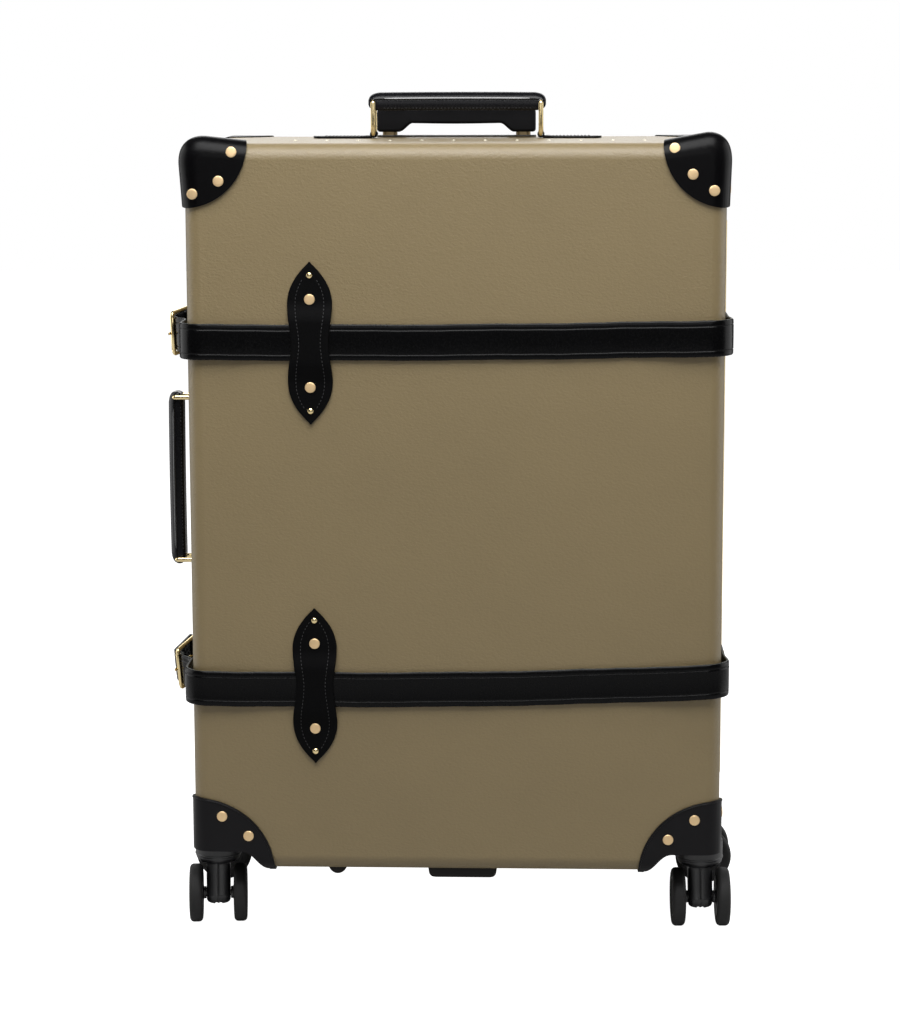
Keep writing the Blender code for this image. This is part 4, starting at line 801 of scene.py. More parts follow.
# Offsets of the strap's section: from the crease's middle, and inward from the two edges
CREASE_INSET, CROWN = 0.0058, 0.00010
CREASE = ((-0.0014, 0.00004), (-0.0007, 0.00012), (-0.0002, -0.00034),
          (0.0002, -0.00046), (0.0008, -0.00004), (0.0016, -0.00002))
OUTER_EDGE = ((0.0016, -0.00012), (0.0008, -0.0004), (0.0002, -0.0010))
INNER_EDGE = ((0.0003, 0.0008), (0.0010, 0.0001), (0.0030, 0.0))


def strap_section():
    """Across the strap: (height, outward) pairs with rounded edges and two creased lines."""
    half_w, h = STRAP_W / 2, STRAP_T / 2
    right = [(0, h + CROWN)] + [(half_w - CREASE_INSET + v, h + n) for v, n in CREASE]
    right += [(half_w - v, h + n) for v, n in OUTER_EDGE] + [(half_w, 0)]
    right += [(half_w - v, n - h) for v, n in INNER_EDGE]
    return both_sides(right)


def sweep(path, leans, section, turn_sign, scales=None):
    loops = []
    last = len(path) - 1
    for i, spot in enumerate(path):
        along = (Vector(path[min(i + 1, last)]) - Vector(path[max(i - 1, 0)])).normalized()
        out = leans[i].cross(along).normalized() * turn_sign
        scale = scales[i] if scales else 1.0
        loops.append([Vector(spot) + out * n + leans[i] * (v * scale) for v, n in section])
    return loft(loops)


def front_height(strap, x):
    span = RIGHT_X - SAG_CENTRE_X
    drop = max(0.0, 1 - ((x - SAG_CENTRE_X) / span) ** 2)
    return STRAP_Z[strap] - STRAP_SAG[strap] * drop


def tip_height(strap, y):
    start = front_height(strap, STRAP_LEFT_X)
    slope = math.tan(BUCKLE_TILT[strap])
    run = max(0.0, y - TIP_LEVEL_Y)
    if run < TIP_RISE_L:
        return start + slope * run ** 2 / (2 * TIP_RISE_L)
    climb = min(run - TIP_RISE_L, TIP_CROSS_L)
    slack = run - TIP_RISE_L - climb
    return start + slope * (TIP_RISE_L / 2 + climb + slack * TIP_SLACK)


def tip_share(y):
    into = (y - TIP_LEVEL_Y) / TIP_RISE_L
    past = (y - BAR_Y - TIP_CROSS_L) / TIP_EASE_L
    return ease(min(into, 1 - past))


def tip_pinch(y):
    near = abs(y - BAR_Y - TIP_CROSS_L / 3) / TIP_CROSS_L
    return 1 - TIP_PINCH / STRAP_W * max(0.0, 1 - near)


def heel_share(x, y):
    if x > LEFT_X:
        return 0.0
    return min(1.0, max(0.0, (HEEL_Y + EYE_BLEND_L - y) / EYE_BLEND_L))


def rear_height(strap, x, y):
    rise = math.tan(BUCKLE_TILT[strap]) * EYE_BLEND_L / 2
    across = min(1.0, max(0.0, (RIGHT_X - x) / BODY_W))
    return STRAP_Z[strap] + rise * (across - heel_share(x, y) ** 2)


def heel_tilt(strap):
    heel = Vector((HEEL_X, HEEL_Y, STRAP_Z[strap]))
    lean = Matrix.Rotation(-BUCKLE_TILT[strap], 4, RAIL.cross(UPRIGHT))
    return Matrix.Translation(heel) @ lean @ Matrix.Translation(-heel)


def heel_lean(strap, share):
    bar = heel_tilt(strap).to_3x3() @ UPRIGHT
    return UPRIGHT.lerp(bar, share).normalized()


def side_line(off):
    return off + STRAP_T / 2


def arc_points(centre, radius, start, stop, steps):
    angles = map(math.radians, evenly(start, stop, steps))
    return [(centre[0] + radius * math.cos(a), centre[1] + radius * math.sin(a)) for a in angles]


UNDER_BAR = BUCKLE_WIRE + FIT + STRAP_T / 2


def front_path(strap):
    side, edge = side_line(STRAP_SIDE_OFF), side_line(STRAP_EDGE_OFF)
    turn_x, turn_y = RIGHT_X + side - STRAP_BEND, FRONT_Y - edge + STRAP_BEND
    hug = side_line(STRAP_HUG)
    path = [(RIGHT_X + hug, JOINT_Y - STRAP_HINGE_GAP - 0.002 * k) for k in range(4)]
    for y in evenly(JOINT_Y - STRAP_HINGE_GAP - 0.012, turn_y + 0.002, 8):
        path.append((RIGHT_X + hug + (side - hug) * ease((turn_y + 0.026 - y) / 0.026), y))
    path += arc_points((turn_x, turn_y), STRAP_BEND, 0, -90, 14)
    for x in evenly(turn_x, -turn_x, 72)[1:-1]:
        lift = ease((abs(x) - STRAP_PRESSED_TO) / (turn_x - STRAP_PRESSED_TO))
        wave = 0.00012 * math.sin(x * 61 + strap) + 0.0001 * math.sin(x * 143)
        off = STRAP_PRESS_OFF + (STRAP_EDGE_OFF - STRAP_PRESS_OFF) * lift + wave
        path.append((x, FRONT_Y - side_line(off)))
    path += arc_points((-turn_x, turn_y), STRAP_BEND, -90, -180, 14)
    end_y = FRONT_Y + TIP_END
    reach = RAIL * BUCKLE_L * math.cos(BUCKLE_TILT[strap])
    bar = (HEEL_X + reach.x + UNDER_BAR, HEEL_Y + reach.y)
    out_x, out_y = bar[0] - UNDER_BAR - TIP_FLARE[strap], bar[1] + TIP_CROSS_L
    past_y = bar[1] + BUCKLE_WIRE + FIT
    for y in evenly(turn_y, end_y, 72)[1:]:
        x = STRAP_LEFT_X + (bar[0] - STRAP_LEFT_X) * ease((y - TIP_LEVEL_Y) / (bar[1] - TIP_LEVEL_Y))
        x += (out_x - bar[0]) * ease((y - past_y) / (out_y - past_y))
        x += TIP_RETURN[strap] * max(0.0, y - out_y) / (end_y - out_y)
        path.append((x, y))
    return path


LEVELS = ("upper", "lower")
HOLE_R, HOLE_PITCH, HOLE_DEPTH = 0.0021, 0.0215, 0.01
GROOVE_R, GROOVE_LIFT, GROOVE_FROM, GROOVE_TO = 0.0024, 0.0040, 0.010, 0.050
SIDE_X, SIDE_Y, HOLES_Y, POINT_L, POINT_LEAST = LEFT_X - 0.002, FRONT_Y + 0.018, FRONT_Y + 0.012, TIP_POINT * 1.15, 0.16
for strap, level in enumerate(LEVELS):
    path, leans, scales = [], [], []
    for x, y in front_path(strap):
        on_side = x < SIDE_X and y > SIDE_Y
        z = tip_height(strap, y) if on_side else front_height(strap, max(x, STRAP_LEFT_X))
        z += 0.00025 * math.sin(x * 47 + strap * 2) + 0.00012 * math.sin(x * 160 + 1.0)
        path.append((x, y, z))
        leans.append(heel_lean(strap, tip_share(y) if on_side else 0.0))
        past = (y - (FRONT_Y + TIP_END - POINT_L)) / POINT_L if on_side else -1
        point = max(POINT_LEAST, math.sqrt(max(0.0, 1 - max(0.0, past) ** 2.2)))
        scales.append(point * (tip_pinch(y) if on_side else 1.0))
    band = sweep(path, leans, strap_section(), 1, scales)
    punches = bmesh.new()
    travelled, next_hole = 0.0, 0.0
    start = next(i for i, (x, y, z) in enumerate(path) if x < SIDE_X and y > HOLES_Y)
    punch = ((0, -HOLE_DEPTH), (HOLE_R, -HOLE_DEPTH), (HOLE_R, HOLE_DEPTH), (0, HOLE_DEPTH))
    for i in range(start, len(path) - 8):
        travelled += (Vector(path[i]) - Vector(path[i - 1])).length
        if travelled >= next_hole:
            next_hole += HOLE_PITCH
            out = leans[i].cross(Vector(path[i + 1]) - Vector(path[i - 1])).normalized()
            turn(punches, punch, path[i], out, 20)
    cut(band, make_solid(punches))
    tilt = heel_tilt(strap)
    way = tilt.to_3x3()
    foot = Vector((HEEL_X, HEEL_Y, STRAP_Z[strap])) + way @ RAIL_OUT * GROOVE_LIFT
    cut(band, rod(foot, way @ RAIL, GROOVE_R, GROOVE_FROM, GROOVE_TO))
    show(band, f"front_band_{level}", STRAP_LEATHER, "lid", f"strap_front_{level}", f"strap_tip_{level}",
         sharp=50, edge=PAINTED_EDGE_HIGHLIGHT)

    # The rear run, folded round the buckle's heel bar
    side, back = side_line(STRAP_SIDE_OFF), side_line(STRAP_PRESS_OFF)
    turn_x, turn_y = RIGHT_X + side - STRAP_BEND, BACK_Y + back - STRAP_BEND
    hug = side_line(STRAP_HUG)
    rear = [(RIGHT_X + hug, JOINT_Y + STRAP_HINGE_GAP + 0.002 * k) for k in range(4)]
    rear += [(RIGHT_X + hug + (side - hug) * ease(k / 6 - 0.2), JOINT_Y + 0.03 + 0.02 * k) for k in range(6)]
    rear += arc_points((turn_x, turn_y), STRAP_BEND, 0, 90, 14)
    rear += [(x, BACK_Y + back) for x in evenly(turn_x, -turn_x, 40)[1:-1]]
    rear += arc_points((-turn_x, turn_y), STRAP_BEND, 90, 180, 14)
    wrap = UNDER_BAR
    keys = [(LEFT_X - side, turn_y), (LEFT_X - side, HEEL_Y + 0.100), (LEFT_X - side - 0.0002, HEEL_Y + 0.075)]
    keys += [(LEFT_X - 0.0088, HEEL_Y + 0.050), (LEFT_X - 0.0106, HEEL_Y + 0.022), (HEEL_X - wrap, HEEL_Y + 0.004)]
    rear += [tuple(p) for p in smooth_path(keys, 6)[1:]]
    rear += arc_points((HEEL_X, HEEL_Y), wrap, 180, 360, 16)
    rear += [(HEEL_X + wrap - 0.0001 * k, HEEL_Y + 0.006 * k) for k in range(1, 8)]
    path = []
    for x, y in rear:
        spot = Vector((x, y, rear_height(strap, x, y) + 0.0002 * math.sin(x * 53)))
        path.append(spot if y > HEEL_Y or x > LEFT_X else tilt @ Vector((x, y, STRAP_Z[strap])))
    leans = [heel_lean(strap, heel_share(x, y)) for x, y in rear]
    band = sweep(path, leans, strap_section(), -1)
    z = STRAP_Z[strap]
    slot = block((HEEL_X - 0.008, HEEL_Y - 0.008, z - 0.0028), (HEEL_X + 0.008, HEEL_Y + 0.010, z + 0.0028))
    cut(band, moved(slot, tilt))
    show(band, f"rear_band_{level}", STRAP_LEATHER, "case_base", f"strap_rear_{level}", sharp=50, edge=PAINTED_EDGE_HIGHLIGHT)


# Leaf-shaped loops

def loop_half_width(s):
    if s < LOOP_SHOULDER:
        return LOOP_WAIST + (LOOP_HALF_W - LOOP_WAIST) * ease(s / LOOP_SHOULDER)
    return LOOP_HALF_W * (1 - ((s - LOOP_SHOULDER) / (1 - LOOP_SHOULDER)) ** LOOP_TAPER)


def loop_lift(strap, z):
    arch = STRAP_PRESS_OFF + STRAP_T + FIT
    strap_z = front_height(strap, LOOP_X[strap])
    past = (abs(z - strap_z) - STRAP_W / 2 - LOOP_ROOM) / LOOP_RAMP
    return FIT + (arch - FIT) * (1 - ease(past))


def stitches(path, normals, length=0.0020, gap=0.0016, width=0.00034, lift=0.00012):
    """Short waxed stitches laid along a line of points."""
    bm = bmesh.new()
    walk = [0.0]
    for a, b in zip(path, path[1:]):
        walk.append(walk[-1] + (b - a).length)

    def at(distance):
        for i in range(len(walk) - 1):
            if walk[i + 1] >= distance:
                t = (distance - walk[i]) / max(walk[i + 1] - walk[i], 1e-9)
                return path[i].lerp(path[i + 1], t), normals[i].lerp(normals[i + 1], t).normalized()
        return path[-1], normals[-1]

    place = gap
    while place + length < walk[-1]:
        (p, n), (q, _) = at(place), at(place + length)
        along = (q - p).normalized()
        across = along.cross(n).normalized()
        loops = []
        for t, size in ((0.0, 0.35), (0.15, 0.85), (0.5, 1.0), (0.85, 0.85), (1.0, 0.35)):
            middle = p.lerp(q, t) + n * (lift * size)
            loops.append(ellipse(middle, across * width * size, n * width * size, 6))
        skin(bm, loops)
        place += length + gap
    return make_solid(bm)


SEAM_HALF_L, SEAM_INSET, SEAM_LEAST = 0.0640, 0.0078, 0.0036
LEAF_POINT, LEAF_ROUND, LEAF_CROWN, LEAF_BACK = 0.0007, 0.0010, 0.0001, 0.0003
for strap, level in enumerate(LEVELS):
    loops = []
    half, mid_x, mid_z = LOOP_L[strap] / 2, LOOP_X[strap], LOOP_Z[strap]
    for z in evenly(mid_z - half, mid_z + half, 110):
        w = max(loop_half_width(abs(z - mid_z) / half), LEAF_POINT)
        near = FRONT_Y - loop_lift(strap, z)
        far = near - LOOP_T
        r = min(LEAF_ROUND, w * 0.45)
        right = [((w - r) * k / 4, far - LEAF_CROWN * (1 - k / 4)) for k in range(4)]
        right += [(w - r + r * math.sin(a), far + r - r * math.cos(a)) for a in quarter(4)]
        right += [(w, near - LEAF_BACK), (w - LEAF_BACK, near)]
        loops.append([(mid_x + u, y, z) for u, y in both_sides(right)])
    show(loft(loops), f"leaf_loop_{level}", LOOP_LEATHER, "lid", f"strap_loop_{level}", sharp=60)
    seams = []
    for hand in (-1, 1):
        line, normals = [], []
        for z in evenly(mid_z - SEAM_HALF_L, mid_z + SEAM_HALF_L, 89):
            w = max(loop_half_width(abs(z - mid_z) / half) - SEAM_INSET, SEAM_LEAST)
            line.append(Vector((mid_x + hand * w, FRONT_Y - loop_lift(strap, z) - LOOP_T, z)))
        for before, after in zip(line[:1] + line, line[1:] + line[-1:]):
            step = after - before
            normals.append(Vector((0, -step.z, step.y)).normalized())
        seams.append(stitches(line, normals))
    show(gathered(*seams), f"loop_stitches_{level}", THREAD, "lid")


# Buckles

def wire_loop(half_u, half_v, corner, radius, place, steps=10, sides=20, flat=None):
    """A closed loop of wire. flat is the wire's half width along its upright sides, where it isn't round."""
    loops = []
    for u, v, a in rounded(half_u, half_v, corner, steps):
        width = radius + ((flat or radius) - radius) * math.cos(a) ** 2
        wire = [(radius * math.cos(t), width * math.sin(t)) for t in turns(sides)]
        loops.append([place(u + out * math.cos(a), v + out * math.sin(a), w) for out, w in wire])
    return loft(loops, closed=True)


PRONG = (  # along the rail, above it, half width, half thickness
    (0.0000, 0.0032, 0.0015, 0.0007), (0.0040, 0.0037, 0.0018, 0.0012), (0.0200, 0.0046, 0.0018, 0.0013),
    (0.0330, 0.0044, 0.0016, 0.0012), (0.0400, 0.0038, 0.0014, 0.0011), (0.0430, 0.0033, 0.0012, 0.0009),
    (0.0445, 0.0028, 0.0007, 0.0005),
)
PRONG_EYE = chamfered(0.0024, 0.0040, -0.0018, 0.0018, 0.0003, 0.0006)
ROLLER_HALF_L = BUCKLE_H / 2 - BUCKLE_CORNER - 0.0006
ROLLER = chamfered(BUCKLE_WIRE + 0.0001, BUCKLE_WIRE + 0.00032, -ROLLER_HALF_L, ROLLER_HALF_L, 0.0001, 0.0002)
for strap, level in enumerate(LEVELS):
    tilt = heel_tilt(strap)
    heel = Vector((HEEL_X, HEEL_Y, STRAP_Z[strap]))
    place = lambda u, v, w: heel + RAIL * (u + BUCKLE_L / 2) + Vector((0, 0, v)) + RAIL_OUT * w
    wire = wire_loop(BUCKLE_L / 2, BUCKLE_H / 2, BUCKLE_CORNER, BUCKLE_WIRE, place)
    show(moved(wire, tilt), f"buckle_wire_{level}", BRASS, f"buckle_{level}", f"buckle_{level}")
    roller = bushing(heel + RAIL * BUCKLE_L, ROLLER)
    show(moved(roller, tilt), f"buckle_roller_{level}", BRASS, f"buckle_{level}")
    loops = [ellipse(heel + RAIL * u + RAIL_OUT * lift, UPRIGHT * half_w, RAIL_OUT * half_t, 16)
             for u, lift, half_w, half_t in PRONG]
    prong = gathered(bushing(heel, PRONG_EYE), loft(loops))
    show(moved(prong, tilt), f"prong_{level}", BRASS, f"prong_{level}", f"buckle_prong_{level}")


# Leather handles

GRIP_UPPER = (  # inward from the side, and down from the crown
    (0.01075, 0.0), (0.00775, 0.0002), (0.00495, 0.0012), (0.00275, 0.0027), (0.00125, 0.0044), (0.00045, 0.0056),
    (0.00009, 0.0063), (0.00003, 0.0069), (0.00025, 0.0073), (0.00053, 0.0075), (0.00051, 0.0080), (0.0003, 0.0086),
    (0.0001, 0.0100),
)
GRIP_LOWER = ((0.0002, 0.0030), (0.0006, 0.0012), (0.0014, 0.0003), (0.0030, 0.0))  # inward, and up from the foot


def grip_section(s, half_h):
    """Across the grip: crowned top, an edge line on each side and a sewn lower edge."""
    right = [(GRIP_W / 2 - u, half_h - v) for u, v in GRIP_UPPER]
    right += [(GRIP_W / 2 - u, v - half_h) for u, v in GRIP_LOWER]
    return [(u * (0.62 + 0.38 * s), v * s - half_h * 0.10 * (1 - s)) for u, v in both_sides(right)]


GRIP_SPAN = {"top": (0.0283, 0.0467), "side": (0.0282, 0.0441)}
GRIP_END, GRIP_DROP, SEAM_END, GRIP_SEAM_OFF, GRIP_SEAM_UP = 0.0125, 0.0003, 0.014, 0.0002, 0.0022
RING_BORE_R, RING_FLAT = RING_WIRE + 0.0003, 0.0024


def grip_crown(x):
    return 0.0005 * (1 - (2 * x / HANDLE_L) ** 2)


def handle_grip(word):
    half = HANDLE_L / 2
    low, high = GRIP_SPAN[word]
    middle = (low + high) / 2
    stations = [(-half + GRIP_END * t, 0.30 + 0.70 * math.sqrt(max(0.0, 1 - (1 - t) ** 2.2))) for t in evenly(0, 1, 12)]
    stations += [(x, 1.0) for x in evenly(-half + GRIP_END, half - GRIP_END, 20)[1:-1]]
    stations += [(-x, s) for x, s in stations[:13][::-1]]
    loops = []
    for x, s in stations:
        lift = middle - GRIP_DROP + (grip_crown(x) if s > 0.99 else 0.0)
        loops.append([(x, u, v + lift) for u, v in grip_section(s, (high - low) / 2)])
    grip = loft(loops)
    for side in (-1, 1):
        bore = rod((side * RING_PITCH / 2, 0, RING_FOOT + RING_H), (0, 1, 0), RING_BORE_R, -RING_W, RING_W, 24)
        cut(grip, bore)
    return grip


def grip_seams(word):
    reach, low = HANDLE_L / 2 - SEAM_END, GRIP_SPAN[word][0] + GRIP_SEAM_UP
    lines = []
    for hand in (-1, 1):
        ends = [Vector((x, hand * (GRIP_W / 2 - GRIP_SEAM_OFF), low)) for x in (-reach, reach)]
        lines.append(stitches(ends, [Vector((0, hand, 0))] * 2))
    return gathered(*lines)


WELT_TILT, WELT_END, WELT_OFF, WELT_DROP = math.radians(27), 0.007, 0.01042, 0.0065


def grip_welt(word, high=0.0004, wide=0.0012, steps=60):
    """A flat welt along both upper edges of the grip."""
    reach = RING_PITCH / 2 - WELT_END
    lines = []
    for hand in (-1, 1):
        out = Vector((0, hand * math.cos(WELT_TILT), math.sin(WELT_TILT)))
        along = Vector((0, -hand * math.sin(WELT_TILT), math.cos(WELT_TILT)))
        loops = []
        for i, x in enumerate(evenly(-reach, reach, steps)):
            spot = Vector((x, hand * WELT_OFF, GRIP_SPAN[word][1] + grip_crown(x) - WELT_DROP))
            size = min(1.0, 0.15 + min(i, steps - i) / 6)
            loops.append(ellipse(spot, along * (wide * size), out * (high * size), 12))
        lines.append(loft(loops))
    return gathered(*lines)


def handle_ring(side):
    place = lambda u, v, w: (side * RING_PITCH / 2 + w, u, v + RING_FOOT + RING_H / 2)
    return wire_loop(RING_W / 2, RING_H / 2, RING_CORNER, RING_WIRE, place, 8, 24, RING_FLAT)


TAB_L, TAB_T, TAB_START, TAB_ROUND, TAB_RIM = 0.0615, 0.0022, 0.002, 0.0009, 0.0005
TAB_SEAM, TAB_SEAM_INSET, TAB_SWELL, TAB_SWELL_AT = (0.010, 0.050), 0.0024, 0.0006, 0.006


def handle_chape(side):
    """A tab that is folded round the ring's foot, and its two seams."""
    x, half = side * RING_PITCH / 2, CHAPE_W / 2
    outer = RING_BORE_R + CHAPE_LOOP_T
    section = rounded(half, TAB_T / 2, TAB_ROUND, 3)
    loops = []
    for u in evenly(TAB_START, TAB_L, 30):
        over = (u - (TAB_L - half * 0.75)) / (half * 0.75)
        w = math.sqrt(max(0.02, 1 - max(0.0, over) ** 2))
        rise = TAB_SWELL * math.exp(-((u - TAB_SWELL_AT) / TAB_SWELL_AT) ** 2)
        loops.append([(x + side * u, a * w, FIT + TAB_T / 2 + b + (rise if b > 0 else 0)) for a, b, _ in section])
    strip = loft(loops)
    foot = (x, 0, RING_FOOT)
    join(strip, lathe(chamfered(0, outer, -half, half, TAB_RIM, TAB_RIM), foot, (0, 1, 0), 32))
    cut(strip, rod(foot, (0, 1, 0), RING_BORE_R, -RING_W, RING_W, 24))
    lines = []
    for hand in (-1, 1):
        ends = [Vector((x + side * u, hand * (half - TAB_SEAM_INSET), FIT + TAB_T)) for u in TAB_SEAM]
        lines.append(stitches(ends, [UPRIGHT] * 2))
    return strip, gathered(*lines)


def dome(bm, spot, normal, radius, height, sides=20):
    profile = [(0, -0.0008), (radius * 0.98, -0.0008), (radius, 0.0002)]
    for a in quarter(6, 1)[:-1]:
        profile.append((radius * math.cos(a), 0.0002 + height * math.sin(a)))
    profile.append((0, 0.0002 + height))
    turn(bm, profile, spot, normal, sides)


def disc(bm, spot, normal, radius, height, sides=36):
    edge = height * 0.55
    profile = [(0, -0.0012), (radius * 0.97, -0.0012), (radius, 0.0), (radius, height - edge)]
    for a in quarter(4, 1):
        profile.append((radius - edge * (1 - math.cos(a)), height - edge + edge * math.sin(a)))
    profile += [(radius * 0.55, height + 0.00010), (0, height + 0.00014)]
    turn(bm, profile, spot, normal, sides)


top_frame = Matrix.Translation((TOP_HANDLE_X, BASE_MID_Y, TOP))
side_frame = Matrix.Translation((LEFT_X, BASE_MID_Y, SIDE_HANDLE_Z)) @ Matrix.Rotation(math.radians(-90), 4, "Y")
for word, place in (("top", top_frame), ("side", side_frame)):
    grip = show(moved(handle_grip(word), place), f"{word}_padded_grip", GRIP_LEATHER, f"{word}_grip",
                f"{word}_handle_grip", sharp=60)
    show(moved(grip_seams(word), place), f"{word}_grip_stitches", THREAD, f"{word}_grip")
    show(moved(grip_welt(word), place), f"{word}_grip_welt", WELT_LEATHER, f"{word}_grip")
    for side, end in ((-1, "a"), (1, "b")):
        show(moved(handle_ring(side), place), f"{word}_brass_ring_{end}", BRASS, f"{word}_ring_{end}",
             f"{word}_handle_ring_{end}")
        strip, seam = handle_chape(side)
        show(moved(strip, place), f"{word}_tab_{end}", STRAP_LEATHER, "case_base", f"{word}_handle_chape_{end}",
             sharp=50)
        show(moved(seam, place), f"{word}_tab_stitches_{end}", THREAD, "case_base")


# Trolley

def pipe(outer, inner, x, low, high):
    rings = ((outer, low), (outer, high), (inner, high), (inner, low))
    return loft([[(u, v, z) for u, v in tube_outline(grow, x)] for grow, z in rings], closed=True)


PULL_SAG, PULL_SAG_L, PULL_EDGE, TUBE_IN_PULL = 0.0006, 0.0125, 0.0030, 0.012
BUTTON_ROOM, POCKET_ROOM, BUTTON_EDGE, BEZEL_ROUND, BEZEL_EDGE = 0.0004, 0.0025, 0.0009, 0.006, 0.0005
half = PULL_W / 2
tab_in = half - PULL_TAB_W
pull_top, pull_low = TOP + PULL_TOP, TOP + PULL_TAB
rise = PULL_ARCH - PULL_TAB
right = [(half, pull_low), (half, pull_top - PULL_ROUND)]
for a in quarter(12, 1):
    right.append((half - PULL_ROUND * (1 - math.cos(a)), pull_top - PULL_ROUND * (1 - math.sin(a))))
left = [(-x, z) for x, z in right[::-1]]
arch = [(-tab_in + PULL_SLOPE_W * t, pull_low + rise * ease(t)) for t in evenly(0, 1, 20)]
sag = [(-tab_in + PULL_SLOPE_W + PULL_SAG_L * k, pull_low + rise - PULL_SAG * math.sin(math.pi * k / 8))
       for k in range(1, 4)]
outline = right + left + arch + sag + [(0, pull_low + rise - PULL_SAG)] + [(-x, z) for x, z in (arch + sag)[::-1]]
pull = prism([(x + TROLLEY_X, z) for x, z in outline], "Y", TROLLEY_Y - PULL_DEPTH / 2, TROLLEY_Y + PULL_DEPTH / 2)
soften(pull, PULL_EDGE, 4, 50)
for side in (-1, 1):
    cut(pull, prism(tube_outline(FIT, tube_x(side)), "Z", pull_low - REACH, pull_low + TUBE_IN_PULL))
pocket, pad = (rounded_outline(BUTTON_W / 2 + room, BUTTON_DEPTH / 2 + room, BUTTON_DEPTH / 2 + room,
                               (TROLLEY_X, TROLLEY_Y), 10) for room in (BUTTON_ROOM, 0.0))
pad_top = pull_top + BUTTON_PROUD
cut(pull, prism(pocket, "Z", pad_top - BUTTON_H - POCKET_ROOM, pull_top + REACH))
show(pull, "trolley_grip_moulding", GRIP_PLASTIC, "trolley", "trolley_pull", flat_weight=True)
button = soften(prism(pad, "Z", pad_top - BUTTON_H, pad_top), BUTTON_EDGE, 3)
show(button, "trolley_push_button", PLASTIC, "trolley_button", "trolley_button", flat_weight=True)
for side, hand in ((-1, "left"), (1, "right")):
    tube_top = pull_low + TUBE_IN_PULL - FIT
    show(pipe(0.0, -TUBE_WALL, tube_x(side), tube_top - TUBE_L, tube_top), f"trolley_rail_{hand}", BRONZE, "trolley",
         f"trolley_tube_{hand}")
    sleeve = pipe(SLEEVE_CLEAR + SLEEVE_WALL, SLEEVE_CLEAR, tube_x(side), CLEARANCE + WALL + FIT, TOP)
    show(sleeve, f"trolley_channel_{hand}", BRONZE, "case_base", f"trolley_sleeve_{hand}")
bezel_half_w = TUBE_PITCH / 2 + TUBE_W / 2 + BEZEL_MARGIN
bezel_half_d = TUBE_DEPTH / 2 + BEZEL_MARGIN / 2
plate = rounded_outline(bezel_half_w, bezel_half_d, BEZEL_ROUND, (TROLLEY_X, TROLLEY_Y), 10)
bezel = soften(prism(plate, "Z", TOP + FIT, TOP + FIT + BEZEL_T), BEZEL_EDGE, 2)
for side in (-1, 1):
    cut(bezel, prism(tube_outline(SLEEVE_CLEAR, tube_x(side)), "Z", TOP - REACH, TOP + REACH))
show(bezel, "trolley_plate", CASTER_PLASTIC, "case_base", "trolley_bezel", flat_weight=True)


